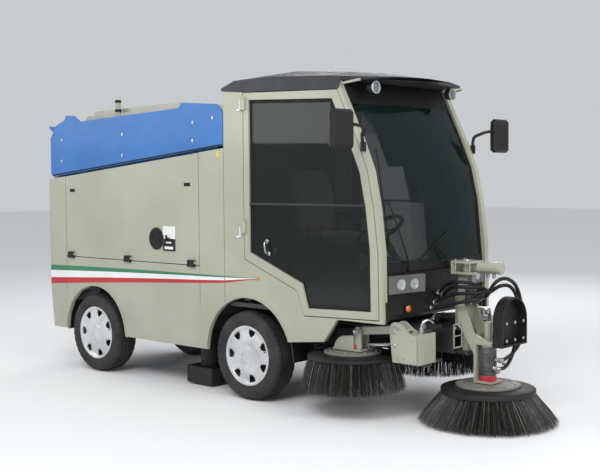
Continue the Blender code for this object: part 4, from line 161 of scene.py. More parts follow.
def feed(mat, source, socket):
    """Links a source to a socket of the material's main shader."""
    link(mat, source, shader_of(mat).inputs[socket])


def maths(mat, operation, *values):
    """The result of an operation on sockets and plain numbers."""
    made = node(mat, "Math", operation=operation)
    for value, target in zip(values, made.inputs):
        if isinstance(value, float):
            target.default_value = value
        else:
            link(mat, value, target)
    return made.outputs["Value"]


def coordinates(mat, scale=(1, 1, 1)):
    mapping = node(mat, "Mapping", Scale=scale)
    link(mat, node(mat, "TexCoord").outputs["Object"], mapping.inputs["Vector"])
    return mapping.outputs["Vector"]


def position(mat):
    """The x, y and z of a point of the object."""
    split = node(mat, "SeparateXYZ")
    link(mat, coordinates(mat), split.inputs["Vector"])
    return [split.outputs[axis] for axis in "XYZ"]


def texture(mat, kind, stretch=(1, 1, 1), output="Fac", **settings):
    made = node(mat, "Tex" + kind, **settings)
    link(mat, coordinates(mat, stretch), made.inputs["Vector"])
    return made.outputs[output]


def spread(mat, value, **limits):
    """A value taken from one range to another."""
    made = node(mat, "MapRange", **limits)
    link(mat, value, made.inputs["Value"])
    return made.outputs["Result"]


def lay_over(mat, colour, share):
    """Another colour over the base colour, as far as the share says."""
    before = shader_of(mat).inputs["Base Color"].links[0].from_socket
    blend = node(mat, "Mix", data_type="RGBA")
    link(mat, share, blend.inputs["Factor"])
    link(mat, before, blend.inputs["A"])
    blend.inputs["B"].default_value = (*colour, 1)
    feed(mat, blend.outputs["Result"], "Base Color")


def raise_by(mat, height, strength, depth):
    bump = node(mat, "Bump", Strength=strength, Distance=depth)
    link(mat, height, bump.inputs["Height"])
    feed(mat, bump.outputs["Normal"], "Normal")


def add_colour(mat, dark, light, scale, stretch=(1, 1, 1), low=0.35, high=0.65):
    """Colour that wanders between two shades."""
    ramp = node(mat, "ValToRGB")
    for element, place, colour in zip(ramp.color_ramp.elements, (low, high), (dark, light)):
        element.position, element.color = place, (*colour, 1)
    link(mat, texture(mat, "Noise", stretch, Scale=scale, Detail=6.0), ramp.inputs["Fac"])
    feed(mat, ramp.outputs["Color"], "Base Color")


def add_dust(mat, colour, low, high, most):
    """Road dust that thins out with height."""
    fade = spread(mat, position(mat)[2], From_Min=high, From_Max=low, To_Max=most)
    lay_over(mat, colour, maths(mat, "MULTIPLY", fade, texture(mat, "Noise", Scale=9.0, Detail=8.0)))


def add_rough(mat, low, high, scale, stretch=(1, 1, 1)):
    noise = texture(mat, "Noise", stretch, Scale=scale, Detail=5.0)
    feed(mat, spread(mat, noise, From_Min=0.3, From_Max=0.7, To_Min=low, To_Max=high), "Roughness")


def add_bump(mat, scale, strength, depth, stretch=(1, 1, 1)):
    raise_by(mat, texture(mat, "Noise", stretch, Scale=scale, Detail=4.0), strength, depth)


def add_grain(mat, scale, strength, depth):
    raise_by(mat, texture(mat, "Voronoi", output="Distance", Scale=scale), strength, depth)


def paint(name, dark, light, rough=0.36, coat=0.35, dust=0.5):
    mat = new_material(name, light, rough, Coat_Weight=coat, Coat_Roughness=0.12)
    add_colour(mat, dark, light, 1.7)
    add_dust(mat, (0.2, 0.18, 0.15), 0.25, 0.85, dust)
    add_rough(mat, rough - 0.05, rough + 0.08, 14.0)
    add_bump(mat, 420.0, 0.12, 0.0006)
    return mat


def plastic(name, dark, light, rough=0.5, grain=520.0, dust=0.25):
    mat = new_material(name, light, rough, Specular_IOR_Level=0.3)
    add_colour(mat, dark, light, 3.0)
    add_dust(mat, (0.16, 0.145, 0.12), 0.15, 0.8, dust)
    add_rough(mat, rough - 0.08, rough + 0.1, 20.0)
    add_grain(mat, grain, 0.35, 0.0005)
    return mat


def metal(name, dark, light, rough=0.32, stretch=(1, 1, 14), metallic=1.0):
    mat = new_material(name, light, rough, metallic)
    add_colour(mat, dark, light, 8.0, stretch)
    add_rough(mat, rough - 0.1, rough + 0.14, 30.0, stretch)
    add_bump(mat, 160.0, 0.1, 0.0004, stretch)
    return mat


def glazing(name, colour, see_through):
    """Tinted glass, clear where faced and more of a mirror at a slant."""
    mat = new_material(name, colour, 0.02, Specular_IOR_Level=0.6)
    slant = node(mat, "LayerWeight", Blend=0.22)
    feed(mat, spread(mat, slant.outputs["Fresnel"], To_Min=1 - see_through), "Alpha")
    add_colour(mat, tuple(c * 0.8 for c in colour), colour, 1.3)
    add_rough(mat, 0.01, 0.04, 2.0)
    return mat


def colour_inside(mat, colour, limits):
    """Another colour inside boxes: each is (low, high) for x, for how far from the middle, and for z."""
    x, y, z = position(mat)
    for box in limits:
        tests = [maths(mat, "COMPARE", source, (low + high) / 2, (high - low) / 2)
                 for source, (low, high) in zip((x, maths(mat, "ABSOLUTE", y), z), box)]
        lay_over(mat, colour, maths(mat, "MULTIPLY", maths(mat, "MULTIPLY", *tests[:2]), tests[2]))
    return mat


GREY_BEIGE = ((0.345, 0.355, 0.272), (0.4, 0.41, 0.32))
BODY = paint("body_grey_beige", *GREY_BEIGE)
BLUE = paint("hopper_blue", (0.008, 0.125, 0.4), (0.014, 0.155, 0.47), 0.4, 0.15, 0.0)
WHITE = paint("white_paint", (0.72, 0.73, 0.72), (0.82, 0.83, 0.82), 0.38, 0.3, 0.1)
GREEN = paint("stripe_green", (0.012, 0.16, 0.065), (0.02, 0.21, 0.09), 0.4, 0.3, 0.1)
RED = paint("stripe_red", (0.4, 0.01, 0.02), (0.52, 0.015, 0.03), 0.4, 0.1, 0.05)
ROOF = plastic("charcoal_roof", (0.03, 0.032, 0.034), (0.046, 0.048, 0.05), 0.5, 380.0, 0.0)
BLACK = plastic("black_plastic", (0.006, 0.006, 0.006), (0.013, 0.013, 0.013), 0.5, 520.0, 0.12)
SEAL = plastic("rubber_seal", (0.005, 0.005, 0.005), (0.01, 0.01, 0.01), 0.62, 520.0, 0.1)
FRAME = paint("frame_black", (0.01, 0.01, 0.011), (0.02, 0.02, 0.021), 0.5, 0.05, 0.35)
TRIM = metal("trim_silver", (0.5, 0.51, 0.52), (0.66, 0.67, 0.68), 0.34, (1, 1, 1), 0.45)
STEEL = metal("plated_steel", (0.42, 0.42, 0.42), (0.62, 0.62, 0.6), 0.3)
CAST = metal("cast_metal", (0.07, 0.07, 0.072), (0.15, 0.15, 0.155), 0.5, (1, 1, 1), 0.7)
GLASS = glazing("tinted_glass", (0.004, 0.01, 0.007), 0.42)
SCREEN = glazing("windscreen_glass", (0.01, 0.022, 0.02), 0.74)
LENS = glazing("clear_lens", (0.7, 0.75, 0.75), 0.78)
# Near black: the real colour of the doors' mid rail and the bumper, and painted shade inside the shells and
# doors
DARK_TRIM_AND_PAINTED_SHADE = (0.012, 0.012, 0.012)
# Painted shade: the inner faces of the bays, the arches, the cab and the doors are painted dark for the
# shade inside them; the doors' dark mid rail is their own dark trim
SHELL = colour_inside(paint("shell_grey_beige_painted_shade", *GREY_BEIGE), DARK_TRIM_AND_PAINTED_SHADE,
                      (((-3, 3), (0, 0.583), (0, 0.78)), ((-0.02, 3), (0, 0.5624), (0.6, 2.4))))
DOOR = colour_inside(paint("door_grey_beige_painted_shade", *GREY_BEIGE), DARK_TRIM_AND_PAINTED_SHADE,
                     (((0.222, 1.248), (0.5, 0.7), (1.3745, 1.3915)), ((-1, 3), (0, 0.5935), (0.6, 2.4))))
# Tail lamps from the top down, and the bumper
TAIL = paint("tail_grey_beige", *GREY_BEIGE)
TAIL_FACE = (-3, -2.165)
TAIL_LAMP_Y = (0.482, 0.559)
for lens, low, high in (((0.5, 0.01, 0.008), 0.91, 1.06), ((0.6, 0.13, 0.01), 0.86, 0.91),
                        ((0.62, 0.62, 0.6), 0.82, 0.86)):
    colour_inside(TAIL, lens, ((TAIL_FACE, TAIL_LAMP_Y, (low, high)),))
colour_inside(TAIL, DARK_TRIM_AND_PAINTED_SHADE, ((TAIL_FACE, (0, 0.6), (0.475, 0.575)),))
# Painted shade: the headlamp units are body grey, painted darker for the shade on the nose
BEZEL_PAINTED_SHADE = plastic("lamp_bezel_grey_painted_shade", (0.1, 0.105, 0.095), (0.15, 0.155, 0.14), 0.45, 600.0, 0.1)
# Painted glint: a lighter tan given to some bristles to stand for the glints on the brushes
TAN_GLINT = plastic("bristle_tan_painted_glint", (0.16, 0.14, 0.1), (0.34, 0.31, 0.24), 0.4, 900.0, 0.0)
LAMP = new_material("lamp_glass", (0.8, 0.82, 0.83), 0.08, 0.0, Coat_Weight=1.0, Coat_Roughness=0.03)
AMBER = new_material("amber_lens", (0.6, 0.13, 0.01), 0.12, 0.0, Coat_Weight=1.0)
RED_LENS = new_material("red_lens", (0.55, 0.012, 0.01), 0.12, 0.0, Coat_Weight=1.0)
FABRIC = new_material("seat_fabric", (0.16, 0.165, 0.16), 0.9, 0.0, Sheen_Weight=0.4, Sheen_Roughness=0.5)
RUBBER = new_material("tyre_rubber", (0.018, 0.018, 0.018), 0.72)
BRISTLE = new_material("bristle", (0.012, 0.012, 0.012), 0.5)
HOSE = plastic("hose_rubber", (0.008, 0.008, 0.008), (0.018, 0.018, 0.018), 0.42, 900.0)
DISC = paint("brush_disc_grey", (0.11, 0.115, 0.1), (0.19, 0.195, 0.17), 0.5, 0.05, 0.8)
YELLOW = paint("patch_yellow", (0.55, 0.46, 0.05), (0.68, 0.58, 0.08), 0.5, 0.1, 0.0)
MIRROR = new_material("mirror_face", (0.85, 0.87, 0.88), 0.03, 1.0)


def finish_lenses():
    for mat, scale in ((LAMP, 60.0), (AMBER, 160.0), (RED_LENS, 160.0), (MIRROR, 3.0)):
        colour = tuple(shader_of(mat).inputs["Base Color"].default_value)[:3]
        add_colour(mat, tuple(c * 0.82 for c in colour), colour, scale, low=0.3, high=0.7)
        if mat is not MIRROR:
            add_grain(mat, scale * 2, 0.25, 0.001)
        else:
            add_rough(mat, 0.02, 0.06, 5.0)


def finish_soft():
    add_colour(FABRIC, (0.1, 0.105, 0.1), (0.2, 0.21, 0.2), 260.0, low=0.4, high=0.6)
    weave, cross = (texture(FABRIC, "Wave", Scale=190.0, Distortion=0.6,
                            bands_direction=way) for way in "XY")
    raise_by(FABRIC, maths(FABRIC, "MULTIPLY", weave, cross), 0.5, 0.0012)
    add_colour(RUBBER, (0.01, 0.01, 0.01), (0.03, 0.029, 0.027), 7.0)
    add_rough(RUBBER, 0.6, 0.85, 18.0)
    add_bump(RUBBER, 650.0, 0.25, 0.0008)
    add_colour(BRISTLE, (0.006, 0.006, 0.006), (0.03, 0.028, 0.025), 60.0, (1, 1, 0.2))
    add_rough(BRISTLE, 0.35, 0.6, 40.0)


finish_lenses()
finish_soft()
SLOT_MATERIALS = {
    "body_paint": (BODY, WHITE, GREEN, RED, SHELL, DOOR, TAIL, YELLOW), "blue_paint": (BLUE,),
                  "charcoal": (ROOF,),
    "black_plastic": (BLACK, SEAL, HOSE, BEZEL_PAINTED_SHADE), "frame_paint": (FRAME, DISC), "trim_silver": (TRIM,),
    "steel": (STEEL,), "cast_metal": (CAST,), "glass": (GLASS, SCREEN),
                  "lamp_glass": (LAMP, AMBER, MIRROR, LENS),
    "red_lens": (RED_LENS,), "seat_fabric": (FABRIC,), "rubber": (RUBBER,), "bristle": (BRISTLE, TAN_GLINT)}
SLOTS = {material: slot for slot, materials in SLOT_MATERIALS.items() for material in materials}
for part in frame["record"]["subparts"]:
    NODES[part["node"]].material_slots[0].material = SLOT_MATERIALS[part["material_slot"]][0]
NODES["windscreen"].material_slots[0].material = SCREEN
NODES["beacon"].material_slots[0].material = AMBER
# The headlamp units take the grey darkened as painted shade; the door frames take the door paint
for name, material in (("headlight", BEZEL_PAINTED_SHADE), ("door_frame", DOOR)):
    for word, _ in SIDES:
        NODES[f"{name}_{word}"].material_slots[0].material = material
# The body and cab shells carry painted shade on their inner faces
for name in ("body_shell", "cab_shell"):
    NODES[name].material_slots[0].material = SHELL
NODES["rear_panel"].material_slots[0].material = TAIL


# Mesh tools
def mm(*points):
    """A profile of (radius, height) points given in millimetres."""
    return [(radius / 1000, height / 1000) for radius, height in points]


class Shape:
    """Collects forms into one mesh."""

    def __init__(self):
        self.points = []
        self.faces = []

    def add(self, points, faces):
        base = len(self.points)
        self.points += [Vector(p) for p in points]
        self.faces += [tuple(i + base for i in face) for face in faces]
        return self

    def box(self, low, high):
        xs, ys, zs = zip(low, high)
        return self.add([(x, y, z) for x in xs for y in ys for z in zs],
                        [(0, 1, 3, 2), (4, 6, 7, 5), (0, 4, 5, 1), (2, 3, 7, 6), (0, 2, 6, 4),
                         (1, 5, 7, 3)])

    def rings(self, rings, closed_ends=True):
        count = len(rings[0])
        faces = []
        for k in range(len(rings) - 1):
            for i in range(count):
                j = (i + 1) % count
                faces.append((k * count + i, k * count + j, (k + 1) * count + j, (k + 1) * count + i))
        if closed_ends:
            faces.append(tuple(reversed(range(count))))
            faces.append(tuple(range((len(rings) - 1) * count, len(rings) * count)))
        return self.add([p for ring in rings for p in ring], faces)

    def rod(self, start, end, radius, sides=16, end_radius=None):
        start, end = Vector(start), Vector(end)
        return self.tube([start, end], [radius, radius if end_radius is None else end_radius], sides)

    def tube(self, route, radius, sides=12):
        """A round tube along the route. Radius is one value, or one for each point."""
        route = [Vector(p) for p in route]
        radii = radius if isinstance(radius, (list, tuple)) else [radius] * len(route)
        tangent = (route[1] - route[0]).normalized()
        helper = Vector((0, 0, 1)) if abs(tangent.z) < 0.9 else Vector((1, 0, 0))
        normal = tangent.cross(helper).normalized()
        rings = []
        for i, point in enumerate(route):
            ahead = route[min(i + 1, len(route) - 1)] - route[max(i - 1, 0)]
            fresh = ahead.normalized()
            normal = (normal - fresh * normal.dot(fresh)).normalized()
            other = fresh.cross(normal)
            rings.append([point + (normal * math.cos(a) + other * math.sin(a)) * radii[i]
                          for a in (2 * math.pi * k / sides for k in range(sides))])
        return self.rings(rings)

    def lathe(self, profile, centre, axis, steps=48):
        """(radius, height) points turned round an axis, closed where neither end lies on the axis."""
        axis = Vector(axis).normalized()
        helper = Vector((1, 0, 0)) if abs(axis.x) < 0.9 else Vector((0, 1, 0))
        u = axis.cross(helper).normalized()
        v = axis.cross(u)
        rings = [[Vector(centre) + axis * height + (u * math.cos(a) + v * math.sin(a)) * radius
                  for a in (2 * math.pi * k / steps for k in range(steps))] for radius, height in profile]
        if profile[0][0] > 0 and profile[-1][0] > 0:
            return self.rings([*rings, rings[0]], False)
        return self.rings(rings)

    def bolt(self, place, out, radius=0.007, height=0.005):
        out = Vector(out).normalized()
        place = Vector(place)
        self.rod(place, place + out * height * 0.35, radius * 1.5, 14)
        return self.rod(place + out * height * 0.3, place + out * height, radius, 6)

    def plate(self, outline, low, high):
        """A plate between low and high in y, with an outline of (x, z) points of the truck."""
        return self.rings([[at(x, y, z) for x, z in outline] for y in (low, high)])

    def mirrored(self):
        made = Shape()
        made.points = [Vector((p.x, -p.y, p.z)) for p in self.points]
        made.faces = [tuple(reversed(face)) for face in self.faces]
        return made

    def make(self, name, material, body, bevel=0.0, segments=2, smooth=40.0):
        """The mesh as a piece that rides on the body, or on none where no body is given."""
        mesh = bpy.data.meshes.new(name)
        mesh.from_pydata([tuple(p) for p in self.points], [], self.faces)
        tidy = bmesh.new()
        tidy.from_mesh(mesh)
        bmesh.ops.remove_doubles(tidy, verts=tidy.verts, dist=1e-6)
        bmesh.ops.recalc_face_normals(tidy, faces=tidy.faces)
        tidy.to_mesh(mesh)
        tidy.free()
        mesh.polygons.foreach_set("use_smooth", [True] * len(mesh.polygons))
        mesh.set_sharp_from_angle(angle=math.radians(smooth))
        mesh.materials.append(material)
        made = put(name, mesh)
        if bevel:
            soften = made.modifiers.new("bevel", "BEVEL")
            soften.width = bevel
            soften.segments = segments
            soften.limit_method = "ANGLE"
            soften.angle_limit = math.radians(35)
        if body:
            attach(made, body)
        return made


def pair(shape, name, material, body, **settings):
    """A piece for the right-hand side and its mirror image. Body may hold {} for the side's word."""
    right = shape.make(name + "_right", material, body.format("right"), **settings)
    left = shape.mirrored().make(name + "_left", material, body.format("left"), **settings)
    return right, left


def arc(centre, radius, start, end, steps):
    """Points between two angles given in degrees."""
    angles = [math.radians(start + (end - start) * i / steps) for i in range(steps + 1)]
    return [(centre[0] + radius * math.cos(a), centre[1] + radius * math.sin(a)) for a in angles]


def smooth_route(points, steps=8):
    """A curve through the points."""
    points = [Vector(p) for p in points]
    padded = [points[0] * 2 - points[1], *points, points[-1] * 2 - points[-2]]
    made = []
    for k in range(1, len(padded) - 2):
        a, b, c, d = padded[k - 1:k + 3]
        for i in range(steps):
            t = i / steps
            made.append(0.5 * (2 * b + (c - a) * t + (2 * a - 5 * b + 4 * c - d) * t * t
                               + (3 * b - a - 3 * c + d) * t ** 3))
    made.append(points[-1])
    return made


# Wheels
TYRE_X = (0.0, -1.742)
TYRE_Y, TYRE_R = 0.4975, 0.315
TRIM_SLOTS, SLOT_STEPS, TRIM_FACE = 7, 16, 0.0819
# The tread's cut blocks by kind: every how many steps, and how deep
BLOCKS = {0: (1, 0), 1: (4, 0.005), 2: (6, 0.003)}


def make_tyre(name, axle_x, side, body, cad):
    """A tyre with four grooves, cut shoulder blocks and a moulded sidewall."""
    # radius, half width and the pattern's kind: 0 smooth, 1 shoulder blocks, 2 middle blocks
    outer = [(0.2005, 0.0815, 0), (0.204, 0.0845, 0), (0.212, 0.0872, 0), (0.2135, 0.0895, 0),
             (0.217, 0.0898, 0),
             (0.219, 0.0885, 0), (0.24, 0.0955, 0), (0.2575, 0.0974, 0), (0.266, 0.0972, 0),
             (0.2675, 0.096, 0),
             (0.2715, 0.0958, 0), (0.273, 0.0966, 0), (0.286, 0.0945, 0), (0.2945, 0.0918, 1),
             (0.303, 0.0845, 1),
             (0.3095, 0.0755, 1), (0.3122, 0.068, 1), (0.3128, 0.052, 1), (0.306, 0.0505, 0),
             (0.306, 0.0435, 0),
             (0.3138, 0.042, 2), (0.3143, 0.022, 2), (0.3065, 0.0205, 0), (0.3065, 0.0135, 0),
             (0.3147, 0.012, 0)]
    profile = outer + [(r, -w, k) for r, w, k in reversed(outer)]
    steps = 144
    centre = at(axle_x, side * TYRE_Y, TYRE_R)
    shape = Shape()
    rings = []
    for radius, width, kind in profile:
        ring = []
        for i in range(steps):
            angle = 2 * math.pi * (i + (0.5 if width < 0 else 0)) / steps
            every, depth = BLOCKS[kind]
            r = radius - (depth if i % every == 0 else 0)
            ring.append(centre + Vector((math.cos(angle) * r, width, math.sin(angle) * r)))
        rings.append(ring)
    shape.rings(rings, False)
    shape.rings([rings[0], rings[-1]], False)
    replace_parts(shape.make(name, RUBBER, body, smooth=32), cad)


def make_rim(name, axle_x, side, body, cad):
    """A silver trim with seven slots round a domed middle, in a plain steel barrel."""
    centre = at(axle_x, side * TYRE_Y, TYRE_R)
    profile = [(0.2145, 0.0002), (0.2145, 0.004), (0.2085, 0.0062), (0.2015, 0.0058), (0.1935, 0.001),
               (0.186, -0.0045), (0.178, -0.0075), (0.168, -0.0075), (0.154, -0.006), (0.138, -0.0045),
               (0.122, -0.0038),
               (0.108, -0.0045), (0.094, -0.0075), (0.082, -0.0105), (0.072, -0.0115), (0.064, -0.01),
               (0.058, -0.0075)]
    steps = TRIM_SLOTS * SLOT_STEPS
    points, faces = [], []
    for radius, height in profile:
        for i in range(steps):
            angle = 2 * math.pi * i / steps
            wave = math.cos(TRIM_SLOTS * angle + math.pi)
            rise = height + 0.0035 * wave * max(0.0, 1 - abs(radius - 0.15) / 0.045)
            points.append((math.cos(angle) * radius, -(TRIM_FACE + rise), math.sin(angle) * radius))
    for k in range(len(profile) - 1):
        middle = (profile[k][0] + profile[k + 1][0]) / 2
        for i in range(steps):
            away = abs((i + 0.5) / SLOT_STEPS % 1 - 0.5) * 2
            if 0.144 < middle < 0.186 and away < 0.44 - (0.186 - middle) * 4.0:
                continue
            j = (i + 1) % steps
            faces.append((k * steps + i, k * steps + j, (k + 1) * steps + j, (k + 1) * steps + i))
    shape = Shape().add([centre + Vector((x, -y * side, z)) for x, y, z in points], faces)
    cover = shape.make(name, TRIM, body, smooth=38)
    thick = cover.modifiers.new("thick", "SOLIDIFY")
    thick.thickness = 0.0035
    thick.offset = -1 if side < 0 else 1
    out = Vector((0, side, 0))
    flat = centre + out * TRIM_FACE
    barrel = Shape().lathe(mm((199.5, 0), (199.5, -163), (190, -163), (187, -140), (187, -20), (194, -4)),
                           flat, out, 64)
    barrel.lathe(mm((187, -56), (150, -48), (105, -36), (80, -32), (30, -32), (30, -45), (80, -46),
                    (105, -50), (150, -62), (187, -70)),
                 flat, out, 48)
    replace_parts(barrel.make(name + "_barrel", CAST, body, smooth=35), cad)
    cap = Shape().lathe(mm((0, -3.5), (30, -3.8), (44, -4.8), (52, -6.8), (54.5, -8), (56, -6.8), (60, -8),
                           (60, -16), (0, -16)), flat, out, 56)
    cap.make(name + "_cap", TRIM, body, smooth=45)
    nuts = Shape()
    for i in range(TRIM_SLOTS):
        angle = 2 * math.pi * (i + 0.5) / TRIM_SLOTS
        nuts.bolt(flat + Vector((math.cos(angle) * 0.079, 0, math.sin(angle) * 0.079)) - out * 0.0115, out,
                  0.005, 0.006)
    nuts.make(name + "_nuts", TRIM, body)
    valve = Shape().rod(flat + Vector((0.17, 0, 0.04)) - out * 0.03,
                        flat + Vector((0.166, 0, 0.04)) + out * 0.004, 0.004, 10)
    valve.make(name + "_valve", SEAL, body)


for place, axle_x in (("front", TYRE_X[0]), ("rear", TYRE_X[1])):
    for word, side in SIDES:
        body = f"{place}_wheel_{word}"
        make_tyre(f"tyre_detail_{place}_{word}", axle_x, side, body, f"tyre_{place}_{word}")
        make_rim(f"trim_{place}_{word}", axle_x, side, body, f"rim_{place}_{word}")


# Brushes
FRONT_BRUSH = (1.63, -0.05)
SIDE_BRUSH = (0.85, 0.45)


def make_brush(name, centre, disc_top, disc_r, ring_r, ring_deep, tip_r, tip_z, body, cad, count):
    """A flat disc with bolts, a moulded ring and many single bristles."""
    x, y = centre
    base = at(x, y, 0)
    low = disc_top - 0.014
    disc = Shape().lathe([(0.017, disc_top - 0.0005), (disc_r - 0.003, disc_top - 0.0005),
                          (disc_r, disc_top - 0.004),
                          (disc_r, low), (0.017, low)], base, UP, 72)
    disc.make(name + "_disc", DISC, body, smooth=35)
    bolts = Shape()
    for i in range(8):
        angle = 2 * math.pi * (i + 0.5) / 8
        bolts.bolt(base + Vector((math.cos(angle) * disc_r * 0.84, math.sin(angle) * disc_r * 0.84,
                                  disc_top - 0.001)),
                   UP, 0.007, 0.008)
    bolts.make(name + "_bolts", STEEL, body)
    ring = Shape().lathe([(disc_r - 0.012, low - 0.001), (disc_r + 0.018, low - 0.002),
                          (ring_r - 0.014, low - 0.008),
                          (ring_r - 0.003, low - 0.013), (ring_r, low - 0.018),
                          (ring_r - 0.001, low - ring_deep),
                          (ring_r - 0.006, low - ring_deep - 0.004),
                          (ring_r - 0.1, low - ring_deep - 0.004),
                          (ring_r - 0.108, low - ring_deep), (disc_r - 0.012, low - 0.014)], base, UP, 96)
    ring.make(name + "_ring", BLACK, body, smooth=35)
    start_z = low - ring_deep + 0.006
    generator = random.Random(len(name) * 31 + count)
    points, faces = [], []
    lines = 5
    for i in range(count):
        share = generator.random()
        angle = 2 * math.pi * (i + generator.uniform(-0.45, 0.45)) / count * 7
        root_r = ring_r - 0.008 - 0.078 * share
        clump = 0.006 * math.sin(angle * 24)
        end_r = tip_r - 0.002 - 0.085 * share + min(0.0, generator.gauss(0, 0.01)) + min(0.0, clump)
        end_z = tip_z + 0.0005 + abs(generator.gauss(0, 0.006)) + 0.01 * generator.random()
        drift = generator.gauss(0, 0.012)
        thick = generator.uniform(0.0011, 0.0017)
        sag = generator.uniform(0.0, 0.012)
        first = len(points)
        for k in range(lines):
            t = k / (lines - 1)
            r = root_r + (end_r - root_r) * (t ** 1.12) + sag * math.sin(t * math.pi)
            r = min(r, tip_r - 0.001)
            a = angle + drift * t * t
            z = start_z + (end_z - start_z) * t
            wide = thick * (1 - 0.55 * t)
            middle = base + Vector((math.cos(a) * r, math.sin(a) * r, z))
            side = Vector((-math.sin(a), math.cos(a), 0))
            out = Vector((math.cos(a), math.sin(a), 0.4))
            points += [middle + side * wide, middle - side * wide, middle + out * wide * 1.2]
        for k in range(lines - 1):
            for j in range(3):
                n = (j + 1) % 3
                faces.append((first + k * 3 + j, first + k * 3 + n, first + k * 3 + 3 + n,
                              first + k * 3 + 3 + j))
        faces.append((first + 2, first + 1, first))
    each = (lines - 1) * 3 + 1
    # Every thirteenth bristle takes the tan of the painted glints
    light = [face for i, face in enumerate(faces) if i // each % 13 == 0]
    dark = [face for i, face in enumerate(faces) if i // each % 13 > 0]
    for word, chosen, material in (("bristles", dark, BRISTLE), ("painted_glint_bristles", light, TAN_GLINT)):
        mesh = bpy.data.meshes.new(f"{name}_{word}")
        used = sorted({i for face in chosen for i in face})
        order = {old: new for new, old in enumerate(used)}
        mesh.from_pydata([tuple(points[i]) for i in used], [],
                         [tuple(order[i] for i in face) for face in chosen])
        mesh.materials.append(material)
        made = put(f"{name}_{word}", mesh)
        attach(made, body)
        if material is BRISTLE:
            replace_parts(made, cad)


make_brush("front_rotor", FRONT_BRUSH, 0.25, 0.205, 0.3, 0.044, 0.45, 0.004, "front_rotor", "front_brush",
           4200)
for word, side in SIDES:
    make_brush(f"side_rotor_{word}", (SIDE_BRUSH[0], SIDE_BRUSH[1] * side), 0.43, 0.19, 0.3, 0.03, 0.355,
               0.17,
               f"side_rotor_{word}", f"side_brush_{word}", 3000)


# Stripes on both sides of the body and the cab
def stripe(points):
    """A thin film on the right-hand side."""
    return Shape().plate(points, -HALF - SKIN * 1.5, -HALF - SKIN * 0.2)


def mix(a, b, t):
    return a + (b - a) * t


BODY_REAR, STRIPE_KINK, STRIPE_END = -2.318, -0.241, 0.135
# Heights of the edges of the film's colours, from the top down: at the rear, at the kink and at the end
STRIPE_EDGES = ((0.843, 0.867, 0.8715), (0.798, 0.856, 0.8695), (0.736, 0.833, 0.8675),
                (0.684, 0.813, 0.864))


def stripe_height(edge, x):
    rear, middle, end = edge
    if x <= STRIPE_KINK:
        t = (x - BODY_REAR) / (STRIPE_KINK - BODY_REAR)
        return mix(rear, middle, t) + 0.006 * math.sin(t * math.pi)
    return mix(middle, end, (x - STRIPE_KINK) / (STRIPE_END - STRIPE_KINK))


for word, material, upper, lower in zip(("green", "white", "red"), (GREEN, WHITE, RED), STRIPE_EDGES,
                                        STRIPE_EDGES[1:]):
    for place, start, end in (("rear", BODY_REAR, -0.1965), ("front", -0.1885, 0.125)):
        xs = [mix(start, end, i / 10) for i in range(11)]
        outline = [(x, stripe_height(upper, x) - 0.0004) for x in xs]
        outline += [(x, stripe_height(lower, x) + 0.0004) for x in reversed(xs)]
        pair(stripe(outline), f"stripe_{word}_{place}", material, ROOT)
marker = Shape().lathe(mm((0, 10), (8, 9), (12, 5), (13, 0.4), (0, 0.4)),
                       at(0.14, -HALF, 0.868), OUT, 24)
pair(marker, "side_marker", AMBER, ROOT)


# Rear body and hatches
HATCH_REAR, HATCH_FRONT = -2.085, -0.459
LATCHES = ((-1.993, 1.47), (-0.58, 1.517))
GRILLE_PLACE = skin(-0.928, 0.0061, 1.11)


def make_hatch_details():
    hinges = Shape()
    leaves = Shape()
    reach = HATCH_FRONT - HATCH_REAR - 0.15
    for i in range(3):
        x = HATCH_REAR + 0.075 + reach * i / 2
        hinges.rod(at(x - 0.0378, -0.621, 0.927), at(x + 0.0378, -0.621, 0.927), 0.0121, 20)
        leaves.box(at(x - 0.036, -0.6285, 0.93), at(x + 0.036, -0.6083, 0.966))
        for dx in (-0.022, 0.022):
            leaves.bolt(at(x + dx, -0.6283, 0.952), OUT, 0.005, 0.004)
    pair(hinges, "hatch_hinge_knuckles", BLACK, HATCH, smooth=50)
    pair(leaves, "hatch_hinge_leaves", BLACK, HATCH, bevel=0.0015)
    latches = Shape()
    for x, z in LATCHES:
        latches.box(skin(x - 0.034, 0.0016, z - 0.013), skin(x + 0.034, 0.0002, z + 0.013))
    pair(latches, "hatch_latch_plates", SEAL, HATCH, bevel=0.0006)
    levers = Shape()
    for x, z in LATCHES:
        for i in range(4):
            levers.box(skin(x - 0.028, 0.0038, z - 0.01 + i * 0.0055),
                       skin(x + 0.022, 0.0012, z - 0.0075 + i * 0.0055))
    pair(levers, "hatch_latch_levers", BLACK, HATCH, bevel=0.0005)
    cap = Shape().lathe(mm((0, 0.8), (70, 0.8), (73, 2.6), (82.5, 2.6), (84.5, 0.6)),
                        GRILLE_PLACE, OUT, 64)
    for i in range(7):
        radius = 0.01 + i * 0.009
        cap.lathe([(radius, 0.0008), (radius + 0.001, 0.0024), (radius + 0.004, 0.0024),
                   (radius + 0.005, 0.0008)],
                  GRILLE_PLACE, OUT, 64)
    pair(cap, "round_grille", BLACK, HATCH, smooth=50)
    plate = Shape().box(skin(-0.856, 0.004, 1.112), skin(-0.718, 0.0002, 1.206))
    pair(plate, "switch_plate_upper", WHITE, HATCH, bevel=0.001)
    plate = Shape().box(skin(-0.856, 0.004, 1.02), skin(-0.718, 0.0002, 1.111))
    plate.rod(skin(-0.79, 0.002, 1.108), skin(-0.79, 0.028, 1.108), 0.014, 20, 0.012)
    plate.box(skin(-0.795, 0.034, 1.1), skin(-0.785, 0.02, 1.142))
    pair(plate, "switch_plate_lower", BLACK, HATCH, bevel=0.001)
    blank = Shape()
    blank.box(skin(-0.835, 0.0056, 1.034), skin(-0.74, 0.0036, 1.054))
    blank.box(skin(-0.82, 0.0056, 1.078), skin(-0.76, 0.0036, 1.09))
    pair(blank, "switch_plate_blanks", WHITE, HATCH, bevel=0.0006)


make_hatch_details()


